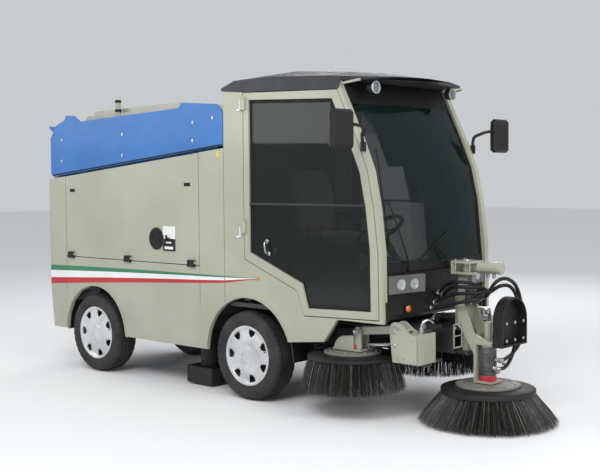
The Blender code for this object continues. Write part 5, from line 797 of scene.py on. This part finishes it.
def make_hopper_details():
    bolts = Shape()
    for x, z in ((-2.125, 1.887), (-2.131, 1.714), (-1.326, 1.908), (-1.331, 1.745), (-0.508, 1.966),
                 (-0.513, 1.836),
                 (-0.3, 1.99)):
        bolts.bolt(skin(x, 0.0003, z), OUT, 0.008, 0.006)
    pair(bolts, "hopper_side_bolts", STEEL, HOPPER)
    seam = Shape()
    xs = [mix(-2.262, -0.207, i / 12) for i in range(13)]
    bottom = [(x, mix(1.5865, 1.791, (x + 2.289) / 2.091)) for x in xs]
    outline = [(x, z + 0.0015) for x, z in bottom] + [(x, z + 0.0125) for x, z in reversed(bottom)]
    seam.plate(outline, -HALF - 0.0014, -HALF - 0.0002)
    pair(seam, "hopper_edge_seal", SEAL, HOPPER)
    cover_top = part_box("hopper_cover")[1].z
    collars = Shape().lathe(mm((21.5, 0), (27, 0), (27, 20), (22.5, 22)), at(-1.6, -0.43, 2.1), UP, 24)
    collars.lathe(mm((0, 4), (20, 3), (25.5, -2), (25.5, -20), (22.5, -20)),
               at(-1.6, -0.43, cover_top - 0.0042), UP, 24)
    collars.make("vent_pipe_collars", BLACK, HOPPER, smooth=40)


make_hopper_details()


# Cab
# Shares of the length and height of the door's front edge from the top down, and of the window all round
DOOR_EDGE = ((0.719, 0.981), (0.857, 0.763), (0.925, 0.636), (0.967, 0.479), (0.995, 0.29), (1.0, 0.014))
WINDOW_OUTLINE = ((0.0, 1.0), (0.7, 0.978), (0.835, 0.772), (0.91, 0.64), (0.954, 0.48), (0.985, 0.29),
                  (0.99, 0.012), (0.5, 0.0), (0.452, 0.115), (0.0, 0.25))
DOOR_REAR, DOOR_BASE, DOOR_LENGTH, DOOR_HEIGHT = 0.011, 0.649, 1.177, 1.498
WINDOW_REAR, WINDOW_BASE, WINDOW_LENGTH, WINDOW_HEIGHT = 0.061, 0.699, 1.077, 1.398
SCREEN_LOW, SCREEN_HIGH, SCREEN_HALF, SCREEN_BOW, SCREEN_SET = 0.955, 2.174, 0.5627, 0.045, 0.02
SCREEN_HEIGHTS = [mix(SCREEN_LOW, SCREEN_HIGH, row) for row in (0.0, 0.36, 0.55, 0.72, 0.955, 1.0)]
SCREEN_STEP = 0.25
SCREEN_SHARES = [-1 + SCREEN_STEP * i for i in range(9)]
PILLAR = [(DOOR_REAR + along * DOOR_LENGTH + 0.036, DOOR_BASE + up * DOOR_HEIGHT)
          for along, up in reversed(DOOR_EDGE)]
PILLAR.append((PILLAR[-1][0] - 0.03, 2.178))


def pillar_x(z):
    """Where the front edge of the cab's side lies at a height."""
    for (x0, z0), (x1, z1) in zip(PILLAR, PILLAR[1:]):
        if z0 <= z <= z1:
            return x0 + (x1 - x0) * (z - z0) / (z1 - z0)
    return PILLAR[0][0] if z < PILLAR[0][1] else PILLAR[-1][0]


def screen_point(share, z, out=0.0008):
    """A point on the windscreen's outer face; share runs from -1 on the right edge to 1 on the left one."""
    x = pillar_x(SCREEN_LOW) - SCREEN_SET
    for low, high in zip(SCREEN_HEIGHTS, SCREEN_HEIGHTS[1:]):
        if low <= z <= high + 1e-9:
            t = (z - low) / (high - low)
            x = mix(pillar_x(low), pillar_x(high), t) - SCREEN_SET
            break
    k = min(7, max(0, int((share + 1) / SCREEN_STEP)))
    s0, s1 = SCREEN_SHARES[k:k + 2]
    bow = mix(1 - s0 * s0, 1 - s1 * s1, (share - s0) / SCREEN_STEP)
    return at(x + SCREEN_BOW * bow + out, SCREEN_HALF * share, z)


def screen_patch(share_low, share_high, z_low, z_high):
    """A thin band on the windscreen that follows its bow."""
    heights = sorted({z_low, z_high, *[h for h in SCREEN_HEIGHTS if z_low < h < z_high]})
    shares = sorted({share_low, share_high, *[s for s in SCREEN_SHARES if share_low < s < share_high]})
    rows = [[screen_point(s, z, 0.0012) for s in shares] for z in heights]
    back = [[screen_point(s, z, 0.0003) for s in shares] for z in heights]
    count = len(shares)
    points = [p for row in rows for p in row] + [p for row in back for p in row]
    size = count * len(heights)
    faces = []
    for k in range(len(heights) - 1):
        for i in range(count - 1):
            a = k * count + i
            faces.append((a, a + 1, a + count + 1, a + count))
            faces.append((size + a, size + a + count, size + a + count + 1, size + a + 1))
    edge = ([*range(count)] + [k * count + count - 1 for k in range(1, len(heights))]
            + [(len(heights) - 1) * count + i for i in range(count - 2, -1, -1)]
            + [k * count for k in range(len(heights) - 2, 0, -1)])
    for a, b in zip(edge, edge[1:] + edge[:1]):
        faces.append((a, size + a, size + b, b))
    return Shape().add(points, faces)


for name, *limits in (("top", -0.996, 0.996, 2.03, 2.17), ("right", -0.996, -0.945, 0.959, 2.0295),
                      ("left", 0.945, 0.996, 0.959, 2.0295), ("foot", -0.9445, 0.9445, 0.959, 1.015)):
    screen_patch(*limits).make("screen_band_" + name, SEAL, ROOT, smooth=30)


def window_point(along, up, inset=0.0):
    """A point of the side window from its shares of length and height, drawn in by the inset all round."""
    x = WINDOW_REAR + WINDOW_LENGTH / 2 + (along - 0.5) * (WINDOW_LENGTH - 2 * inset)
    return (x, WINDOW_BASE + WINDOW_HEIGHT / 2 + (up - 0.5) * (WINDOW_HEIGHT - 2 * inset))


def ring_plate(outer, inner, low, high):
    """A flat ring between two outlines of the same number of points, in the XZ plane."""
    count = len(outer)
    points = [at(x, y, z) for y in (low, high) for loop in (outer, inner) for x, z in loop]
    faces = []
    for i in range(count):
        j = (i + 1) % count
        faces.append((i, j, count + j, count + i))
        faces.append((2 * count + i, 3 * count + i, 3 * count + j, 2 * count + j))
        faces.append((i, 2 * count + i, 2 * count + j, j))
        faces.append((count + i, count + j, 3 * count + j, 3 * count + i))
    return Shape().add(points, faces)


def make_door_details():
    outer = [window_point(a, u, 0.0015) for a, u in WINDOW_OUTLINE]
    inner = [window_point(a, u, 0.026) for a, u in WINDOW_OUTLINE]
    border = ring_plate(outer, inner, -HALF + 0.0125, -HALF + 0.0138)
    pair(border, "door_glass_border", SEAL, "cab_door_{}")
    route = ((0.215, -0.012, 1.128), (0.217, 0.012, 1.122), (0.224, 0.018, 1.086), (0.231, 0.012, 1.05),
             (0.233, -0.012, 1.044))
    handle = Shape().tube(smooth_route([skin(*p) for p in route], 6), 0.0055, 12)
    for x, z in ((0.215, 1.128), (0.233, 1.044)):
        handle.lathe(mm((0, 3), (12, 2), (14, 0), (0, 0)), skin(x, -0.0125, z), OUT, 20)
    pair(handle, "door_pull", STEEL, "cab_door_{}", smooth=50)
    lock = Shape().lathe(mm((0, 14), (10, 14), (12, 12), (12, 4), (22, 2), (24, 0), (0, 0)),
                         skin(0.3, -0.0125, 1.062), OUT, 28)
    pair(lock, "door_lock", BLACK, "cab_door_{}", smooth=50)


make_door_details()


def make_wiper(name, foot, tip_low, tip_high, arm_end):
    arm = Shape().lathe(mm((0, 26), (14, 24), (18, 14), (18, 0), (0, 0)), foot, (1, 0, 0.25), 20)
    arm.tube([foot + Vector((0.02, 0, 0.004)), mix(foot, arm_end, 0.5) + Vector((0.026, 0, 0)),
              arm_end + Vector((0.014, 0, 0))],
             [0.007, 0.005, 0.004], 10)
    arm.make(name + "_arm", BLACK, ROOT, smooth=50)
    blade = Shape()
    route = [mix(tip_low, tip_high, i / 10) + Vector((0.008, 0, 0)) for i in range(11)]
    blade.tube(route, 0.0045, 8)
    blade.make(name + "_blade", SEAL, ROOT, smooth=50)


make_wiper("wiper_right", screen_point(-0.62, 0.975, 0.001), screen_point(-0.9, 1.1),
           screen_point(-0.86, 1.74),
           screen_point(-0.885, 1.42))
make_wiper("wiper_left", screen_point(0.1, 0.975, 0.001), screen_point(-0.42, 1.03),
           screen_point(0.18, 1.2),
           screen_point(-0.12, 1.12))


def pillow(name, grooves, taper=0.0):
    """A crowned cushion, two units each way, with its sides pulled in and sewn channels across its face."""
    shape = bmesh.new()
    bmesh.ops.create_cube(shape, size=2.0)
    bmesh.ops.subdivide_edges(shape, edges=shape.edges[:], cuts=29, use_grid_fill=True)
    for vert in shape.verts:
        p = vert.co.copy()
        length = (abs(p.x) ** 7 + abs(p.y) ** 7 + abs(p.z) ** 7) ** (1 / 7)
        q = p / max(length, 1e-6)
        swell = (1 - q.x * q.x) * (1 - q.y * q.y)
        x = q.x * (1 - 0.03 * (q.y ** 2))
        y = q.y * (1 - 0.03 * (q.x ** 2))
        z = q.z * (0.86 + 0.14 * swell)
        pull = sum(depth * math.exp(-((across - q.y) / 0.035) ** 2) for across, depth in grooves)
        if q.z > 0.4:
            z -= pull
        narrow = 1 - taper * max(0.0, x) ** 2
        vert.co = Vector((x, y * narrow, z))
    mesh = bpy.data.meshes.new(name)
    shape.to_mesh(mesh)
    shape.free()
    return mesh


def cushion_piece(name, mesh, place, cad):
    for vert in mesh.vertices:
        vert.co = place(vert.co)
    mesh.polygons.foreach_set("use_smooth", [True] * len(mesh.polygons))
    mesh.materials.append(FABRIC)
    made = put(name, mesh)
    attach(made, ROOT)
    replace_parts(made, cad)


def make_seat():
    low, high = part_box("seat_cushion")
    centre, half = (low + high) / 2, (high - low) / 2
    mesh = pillow("seat_cushion_padded", ((-0.62, 0.14), (0.62, 0.14)))
    cushion_piece("seat_cushion_padded", mesh,
                  lambda p: centre + Vector((p.x * half.x, p.y * half.y, p.z * half.z)), "seat_cushion")
    low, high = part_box("seat_back")

    def place(p):
        up = (p.x + 1) / 2
        return at(0.142 - 0.06 * up + p.z * 0.044, -p.y * (high.y - low.y) / 2, mix(low.z, high.z, up))
    mesh = pillow("seat_back_padded", ((-0.55, 0.18), (0.55, 0.18)), 0.24)
    cushion_piece("seat_back_padded", mesh, place, "seat_back")
    levers = Shape()
    knobs = Shape()
    for x in (0.3, 0.36, 0.42):
        levers.tube([at(x, -0.27, 1.1), at(x + 0.01, -0.27, 1.2)], 0.0045, 10)
        knobs.lathe(mm((0, 34), (9, 31), (13, 20), (10, 6), (6, 0), (0, 0)),
                    at(x + 0.01, -0.27, 1.196), (0.1, 0, 1), 20)
    levers.box(at(0.24, -0.315, 1.04), at(0.5, -0.225, 1.1))
    levers.box(at(0.14, -0.305, 0.95), at(0.46, -0.235, 1.045))
    levers.make("seat_console", BLACK, ROOT, bevel=0.004, smooth=40)
    knobs.make("lever_knobs", RED, ROOT, smooth=50)
    rest = Shape().box(at(0.12, 0.215, 1.26), at(0.38, 0.275, 1.305))
    rest.box(at(0.13, 0.225, 1.1), at(0.16, 0.245, 1.27))
    rest.make("arm_rest", BLACK, ROOT, bevel=0.012, segments=4, smooth=60)


make_seat()


def make_mirror_faces():
    face = Shape().box(at(1.1083, -0.975, 1.745), at(1.1096, -0.805, 1.955))
    pair(face, "mirror_face", MIRROR, ROOT, bevel=0.0005)
    back = Shape().box(at(1.1605, -0.968, 1.748), at(1.1625, -0.812, 1.952))
    pair(back, "mirror_back_panel", BLACK, ROOT, bevel=0.001)


make_mirror_faces()


WORK_LAMP = at(1.0356, -0.431, 2.132)


def make_lamps():
    """Round lamps in the grey units on the nose, the work lamps below the visor, and amber turn signals."""
    edge = pillar_x(0.655) - 0.03
    sweep = math.atan2(0.06, SCREEN_HALF - 0.2)
    middle = at(edge + 0.03, -(SCREEN_HALF + 0.2) / 2, 0.8825)
    out = Vector((math.cos(sweep), -math.sin(sweep), 0))
    across = Vector((math.sin(sweep), math.cos(sweep), 0))
    bowls, glasses = Shape(), Shape()
    for offset in (-0.0575, 0.0575):
        centre = middle + across * offset + out * 0.0146
        bowls.lathe(mm((38.5, 11.2), (38.5, 2), (30, 0.6), (0, 0.4), (0, 3), (12, 3.4), (28, 4.5),
                       (35, 11)), centre, out, 40)
        glasses.lathe(mm((0, 13.8), (18, 13.2), (30, 11.8), (34.5, 10), (34.5, 8.5), (0, 9)),
                      centre, out, 40)
    pair(bowls, "headlamp_bowls", STEEL, ROOT, smooth=50)
    pair(glasses, "headlamp_lenses", LENS, ROOT, smooth=50)
    signal_place = at(edge + 0.043, -0.365, 0.722)
    signal = Shape().lathe(mm((0, 14), (12, 13), (20, 9), (24, 1), (0, 1)),
                           signal_place, out, 28)
    pair(signal, "turn_signal", AMBER, ROOT, smooth=60)
    ring = Shape().lathe(mm((24, 0), (29, 0), (29, 4), (25, 6)), signal_place, out, 28)
    pair(ring, "turn_signal_ring", BLACK, ROOT, smooth=50)
    work = Shape().lathe(mm((0, 6), (20, 5), (33, 1), (35, -1), (0, -1)),
                         WORK_LAMP, AHEAD, 32)
    pair(work, "work_lamp_lens", LENS, ROOT, smooth=60)
    rim = Shape().lathe(mm((34.5, 0), (40.5, -4), (41.5, 2), (39.5, 6), (36, 5.5)),
                        WORK_LAMP, AHEAD, 32)
    pair(rim, "work_lamp_rim", TRIM, ROOT, smooth=50)


make_lamps()


# Front mast, hydraulic motors and hoses
def ring_profile(inner, outer, low, high, round_off=0.0015):
    return [(inner, low), (outer - round_off, low), (outer, low + round_off), (outer, high - round_off),
            (outer - round_off, high), (inner, high)]


# Each hose's points from its fitting on the valve block to its far end
MAST_HOSES = (
    ((1.54, -0.052, 0.818), (1.575, -0.07, 0.85), (1.56, -0.12, 0.885), (1.5, -0.146, 0.892),
     (1.43, -0.146, 0.885),
     (1.35, -0.115, 0.86), (1.262, -0.06, 0.8)),
    ((1.54, -0.026, 0.821), (1.59, -0.04, 0.85), (1.59, -0.11, 0.862), (1.52, -0.15, 0.862),
     (1.43, -0.148, 0.855),
     (1.34, -0.09, 0.815), (1.262, -0.02, 0.77)),
    ((1.54, 0.000, 0.818), (1.6, -0.005, 0.835), (1.618, -0.075, 0.83), (1.56, -0.14, 0.825),
     (1.45, -0.152, 0.812),
     (1.34, -0.14, 0.775), (1.262, -0.11, 0.74)),
    ((1.54, -0.04, 0.778), (1.59, -0.06, 0.792), (1.6, -0.125, 0.79), (1.53, -0.16, 0.772),
     (1.42, -0.158, 0.745),
     (1.34, -0.155, 0.722), (1.262, -0.15, 0.71)))
ARM_HOSES = (
    ((1.54, -0.01, 0.778), (1.585, 0.01, 0.8), (1.625, 0.02, 0.87), (1.66, 0.05, 0.905), (1.674, 0.12, 0.9),
     (1.682, 0.195, 0.855), (1.692, 0.234, 0.77), (1.7, 0.245, 0.64), (1.7, 0.228, 0.5), (1.7, 0.14, 0.43),
     (1.712, 0.01, 0.402), (1.703, -0.036, 0.4)),
    ((1.54, 0.014, 0.795), (1.58, 0.045, 0.815), (1.63, 0.085, 0.855), (1.665, 0.14, 0.855),
     (1.682, 0.195, 0.8),
     (1.69, 0.214, 0.7), (1.69, 0.205, 0.56), (1.705, 0.12, 0.42), (1.713, 0.02, 0.352),
     (1.703, -0.066, 0.35)))
MAST_X, MAST_Y = 1.42, 0.03
ACTUATOR_Y, ACTUATOR_Z = 0.0675, 0.9725
MOTOR_X, MOTOR_Y = FRONT_BRUSH


def make_mast_details():
    pins = Shape()
    for low, high in ((0.9445, 0.955), (0.99, 1.0005)):
        pins.lathe(ring_profile(0.031, 0.04, low, high), at(MAST_X, MAST_Y, 0), UP, 32)
    for x, y in ((1.365, -0.025), (1.475, -0.025), (1.365, 0.085)):
        pins.bolt(at(x, y, 1.0148), UP, 0.008, 0.01)
        pins.rod(at(x, y, 0.9442), at(x, y, 1.0008), 0.006, 12)
    pins.lathe(mm((0, 8), (12, 8), (15, 4), (15, 0), (0, 0)), at(MAST_X, MAST_Y, 1.0148), UP, 24)
    pins.make("mast_cap_pins", STEEL, MAST, smooth=40)
    band = Shape()
    for low, high in (((1.3725, -0.0175), (1.3798, 0.0775)), ((1.4602, -0.0175), (1.4675, 0.0775)),
                      ((1.3725, -0.0175), (1.4675, -0.0102)), ((1.3725, 0.0702), (1.4675, 0.0775))):
        band.box(at(*low, 0.9212), at(*high, 0.9298))
    band.make("mast_clamp_band", STEEL, MAST, bevel=0.001, smooth=40)
    rings = Shape()
    for x, wide in ((1.5, 0.01), (1.64, 0.016)):
        rings.lathe(ring_profile(0.0375, 0.0405, -wide / 2, wide / 2), at(x, ACTUATOR_Y, ACTUATOR_Z), AHEAD,
                    36)
    rings.lathe(mm((0, 1.2), (30, 1.2), (34, 0)), at(1.66, ACTUATOR_Y, ACTUATOR_Z), AHEAD, 36)
    for y, z in arc((ACTUATOR_Y, ACTUATOR_Z), 0.026, 30, 330, 5):
        rings.bolt(at(1.6608, y, z), AHEAD, 0.0042, 0.004)
    rings.make("swing_actuator_rings", BODY, MAST, smooth=40)
    ports = Shape()
    for x in (1.555, 1.6):
        ports.lathe(mm((0, 30), (8, 30), (9, 22), (12, 20), (12, 8), (14, 0), (0, -4)),
                    at(x, ACTUATOR_Y, 0.9335), DOWN, 12)
    ports.make("swing_actuator_ports", STEEL, MAST, smooth=30)


make_mast_details()


def make_front_motor():
    x, y = MOTOR_X, MOTOR_Y
    motor = Shape()
    motor.lathe(mm((47, 300), (49.5, 302), (49.5, 330), (52.5, 334), (52.5, 372), (49.5, 376), (49.5, 438),
                   (52.5, 441), (52.5, 478), (50, 481), (47, 481)), at(x, y, 0), UP, 48)
    for px, py in arc((x, y), 0.0505, 45, 315, 3):
        motor.rod(at(px, py, 0.335), at(px, py, 0.47), 0.0045, 12)
    motor.make("front_motor_case", CAST, ARM, smooth=35)
    red = Shape().lathe(ring_profile(0.047, 0.0545, 0.2665, 0.2985, 0.003), at(x, y, 0), UP, 48)
    red.box(at(x + 0.03, y - 0.06, 0.27), at(x + 0.062, y - 0.036, 0.296))
    red.make("front_motor_seal_ring", RED, ARM, smooth=35)
    ports = Shape()
    for dx, dy, z, out in ((0.052, 0.012, 0.4, (1, 0.1, 0)), (0.052, -0.018, 0.352, (1, -0.15, 0)),
                           (0.05, 0.02, 0.325, (1, 0.3, 0))):
        ports.lathe(mm((0, 22), (8.5, 22), (9, 18), (12.5, 16), (12.5, 8), (15, 6), (15, -6), (0, -6)),
                    at(x + dx, y + dy, z), out, 12)
    ports.rod(at(x + 0.075, y + 0.055, 0.372), at(x + 0.075, y + 0.085, 0.372), 0.009, 8)
    ports.make("front_motor_ports", STEEL, ARM, smooth=30)
    block = Shape().box(at(1.4752, -0.078, 0.738), at(1.516, 0.026, 0.842))
    block.box(at(1.516, -0.064, 0.754), at(1.528, 0.024, 0.83))
    block.box(at(1.4752, -0.05, 0.842), at(1.4802, 0.000, 0.93))
    block.make("valve_block", CAST, MAST, bevel=0.003, smooth=40)
    studs = Shape()
    for z in (0.748, 0.832):
        studs.bolt(at(1.516, -0.071, z), AHEAD, 0.0055, 0.006)
    for points in (*MAST_HOSES, *ARM_HOSES):
        studs.lathe(mm((0, 20), (8.5, 20), (9.5, 14), (12.5, 13), (12.5, 3), (14, 0), (0, -3)),
                    at(1.528, points[0][1], points[0][2] - 0.003), (1, 0, 0.15), 6)
    studs.make("valve_block_fittings", STEEL, MAST, smooth=25)
    edges = Shape()
    for edge in (-0.1125, 0.0295):
        edges.box(at(1.5645, edge, 0.262), at(1.5655, edge + 0.015, 0.5))
    edges.make("arm_plate_edges", BODY, ARM)


make_front_motor()


def hose(name, points, radius, body, other=None):
    """A hydraulic hose with a crimped collar at each end. Given a second body, it rides on none."""
    route = smooth_route([at(*p) for p in points], 7)
    tube = Shape().tube(route, radius, 12).make(name, HOSE, None if other else body, smooth=60)
    ends = Shape()
    for a, b in ((route[0], route[3]), (route[-1], route[-4])):
        ends.lathe([(0.0, -0.004), (radius * 1.25, -0.004), (radius * 1.45, 0.0), (radius * 1.45, 0.008),
                    (radius * 1.2, 0.01), (radius * 1.2, 0.026), (0.0, 0.026)], a, (b - a).normalized(), 16)
    collars = ends.make(name + "_collars", STEEL, None if other else body, smooth=30)
    if other:
        for piece in (tube, collars):
            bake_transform(piece)


def make_hoses():
    for i, points in enumerate(MAST_HOSES):
        hose(f"mast_hose_{i}", points, 0.0115, MAST, ROOT)
    for i, points in enumerate(ARM_HOSES):
        hose(f"arm_hose_{i}", points, 0.012, ARM, MAST)
    plate = Shape().box(at(1.2455, -0.19, 0.69), at(1.2505, 0.03, 0.825))
    for points in MAST_HOSES:
        plate.lathe(mm((0, 20), (11, 20), (15.5, 14), (15.5, 4), (18, 0), (0, 0)),
                    at(1.2505, *points[-1][1:]), AHEAD, 6)
    plate.make("hose_bulkhead_plate", CAST, ROOT, bevel=0.0012, smooth=30)


make_hoses()


def make_guard_details():
    bolts = Shape()
    for y in (-0.06, 0.04, 0.14):
        for z in (0.53, 0.64):
            bolts.bolt(at(1.77, y, z), AHEAD, 0.007, 0.006)
    bolts.make("guard_bolts", STEEL, ARM, smooth=30)


# Side brush carriers
def make_carrier_details():
    drum = Shape()
    drum_at = (1.287, 0.52)
    outline = [*arc(drum_at, 0.086, 62, 205, 14), (1.232, 0.44), (1.285, 0.4), (1.4, 0.4),
               (1.4, 0.575), (1.345, 0.585)]
    drum.plate(outline, -0.5045, -0.4957)
    drum.plate(outline, -0.3995, -0.3905)
    shell = [*arc(drum_at, 0.086, 70, 128, 10), *reversed(arc(drum_at, 0.0785, 70, 128, 10))]
    drum.plate(shell, -0.4957, -0.3995)
    pair(drum, "side_carrier_cheeks", BODY, CARRIER, bevel=0.0015, smooth=35)
    pins = Shape()
    for x, z, radius in ((1.235, 0.6, 0.014), (1.235, 0.505, 0.009)):
        pins.lathe([(0.0, 0.007), (radius * 0.8, 0.007), (radius * 1.3, 0.004), (radius * 1.4, 0.0),
                    (0.0, 0.0)],
                   at(x, -0.5047, z), OUT, 20)
    for x, z in ((1.3, 0.425), (1.375, 0.425), (1.375, 0.55)):
        pins.bolt(at(x, -0.5045, z), OUT, 0.006, 0.006)
    for place in ((1.34, -0.345, 0.606), (1.365, -0.4, 0.5825)):
        pins.lathe(mm((0, 52), (8, 52), (9, 40), (14, 38), (14, 22), (18, 18), (18, 4), (22, 0), (0, 0)),
                   at(*place), UP, 6)
    route = ((1.365, -0.4, 0.63), (1.372, -0.385, 0.655), (1.385, -0.35, 0.662), (1.392, -0.31, 0.64))
    pins.tube(smooth_route([at(*p) for p in route], 5), 0.008, 10)
    pair(pins, "side_carrier_fittings", STEEL, CARRIER, smooth=30)
    head = Shape()
    for x in (0.752, 0.948):
        for y in (-0.402, -0.498):
            head.bolt(at(x, y, 0.4472), UP, 0.006, 0.006)
    head.lathe(mm((0, 12), (10, 12), (11, 5), (16, 0), (0, 0)), at(0.925, -0.5152, 0.565), OUT, 20)
    pair(head, "side_head_bolts", STEEL, BRUSH_HEAD, smooth=30)
    motor = Shape().lathe(ring_profile(0.037, 0.0415, 0.4475, 0.464, 0.002), at(0.85, -0.45, 0), UP, 36)
    motor.box(at(0.872, -0.508, 0.4472), at(0.915, -0.47, 0.475))
    pair(motor, "side_motor_seal_ring", RED, BRUSH_HEAD, bevel=0.0012, smooth=35)
    link = Shape()
    a, b = at(1.235, -0.45, 0.505), at(0.925, -0.45, 0.47)
    along = (b - a).normalized()
    for t in (0.24, 0.34, 0.66, 0.76):
        middle = a + (b - a) * t
        link.rod(middle - along * 0.006, middle + along * 0.006, 0.0135, 6)
    pair(link, "side_link_nuts", STEEL, "side_lower_link_{}", smooth=30)


def make_bracket_frames():
    frames = Shape()
    for y in (-0.155, 0.15):
        for low, high, bottom, top in ((-0.05, -0.04, 0.47, 0.628), (0.04, 0.05, 0.47, 0.628),
                                       (-0.05, 0.05, 0.47, 0.48),
                                       (-0.05, 0.05, 0.618, 0.628), (-0.05, 0.05, 0.545, 0.552)):
            frames.box(at(1.4695, y + low, bottom), at(1.4745, y + high, top))
        for dy in (-0.03, 0.03):
            frames.bolt(at(1.469, y + dy, 0.6), AHEAD, 0.007, 0.007)
    frames.make("beam_bracket_frames", BODY, ROOT, bevel=0.001, smooth=35)


make_guard_details()
make_carrier_details()
make_bracket_frames()


# Cab outside
def make_cab_trim():
    hinges = Shape()
    for x, z in ((-0.009, 2.065), (-0.022, 1.185)):
        hinges.rod(skin(x, 0.009, z - 0.034), skin(x, 0.009, z + 0.036), 0.0055, 14)
        hinges.box(skin(x - 0.042, 0.006, z - 0.04), skin(x + 0.004, 0.0003, z - 0.026))
        hinges.box(skin(x - 0.012, 0.006, z - 0.04), skin(x + 0.003, 0.0003, z + 0.028))
    pair(hinges, "door_stay_hinges", WHITE, ROOT, bevel=0.001, smooth=40)
    seams = Shape()
    for x in (HATCH_REAR - 0.006, HATCH_FRONT + 0.006):
        seams.box(skin(x - 0.0012, 0.0005, 0.64), skin(x + 0.0012, 0.0001, 0.9235))
    pair(seams, "panel_seams", SEAL, ROOT)
    lips = Shape()
    for x, radius, start, end in ((-1.715, 0.385, 4, 176), (0.03, 0.412, 24, 122), (0.03, 0.412, 126, 176)):
        outer, inner = (arc((x, TYRE_R), radius + more, start, end, 40) for more in (0.013, 0.001))
        lips.plate(outer + inner[::-1], -HALF - 0.0042, -HALF - 0.0002)
    pair(lips, "arch_lips", BODY, ROOT, bevel=0.0012, smooth=50)
    fascia = Shape().plate([(-0.204, 2.17), (0.011, 2.152), (0.872, 2.1245), (0.895, 2.17), (0.893, 2.2005),
                            (0.744, 2.215), (0.268, 2.239), (-0.075, 2.234), (-0.204, 2.19)],
                           -HALF - 0.0055, -HALF - 0.0004)
    pair(fascia, "roof_side_fascia", ROOF, ROOT, bevel=0.0015, smooth=40)
    strip = Shape().rod(skin(0.903, -0.012, 2.158), skin(1.02, -0.036, 2.174), 0.008, 10)
    pair(strip, "visor_edge_strip", BODY, ROOT, smooth=40)
    blank = Shape().box(skin(-0.268, 0.0012, 1.712), skin(-0.236, 0.0002, 1.752))
    pair(blank, "yellow_patch", YELLOW, ROOT)


make_cab_trim()


# Floor, light and sky
def make_stage():
    mesh = bpy.data.meshes.new("studio_floor")
    size = 40
    mesh.from_pydata([(-size, -size, 0), (size, -size, 0), (size, size, 0), (-size, size, 0)], [],
                     [(0, 1, 2, 3)])
    floor = put("studio_floor", mesh)
    mesh.materials.append(new_material("floor_pale", (0.86, 0.86, 0.86), 0.9))
    floor.location.z = -0.0005
    floor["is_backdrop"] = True
    world = bpy.data.worlds.new("studio_sky")
    world.use_nodes = True
    bpy.context.scene.world = world
    sky = world.node_tree.nodes["Background"].inputs
    sky["Color"].default_value = (0.93, 0.96, 1.0, 1)
    sky["Strength"].default_value = 0.62
    bpy.context.scene.view_settings.view_transform = "Standard"
    for name, place, aim, size, power in (("key", (3.5, -6.5, 6.5), (0, 0, 1), 4.5, 400),
                                          ("front", (8.0, -1.5, 4.5), (0.5, 0, 1), 4.0, 190),
                                          ("fill", (-6.0, -5.0, 3.5), (0, 0, 1), 5.0, 100),
                                          ("back", (-3.0, 6.5, 5.0), (0, 0, 1), 5.0, 150)):
        data = bpy.data.lights.new(name, "AREA")
        data.shape = "RECTANGLE"
        data.size = size
        data.size_y = size * 0.6
        data.energy = power
        lamp = put(name, data)
        lamp.location = place
        lamp.rotation_euler = (Vector(aim) - Vector(place)).to_track_quat("-Z", "Y").to_euler()


make_stage()
low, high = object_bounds()
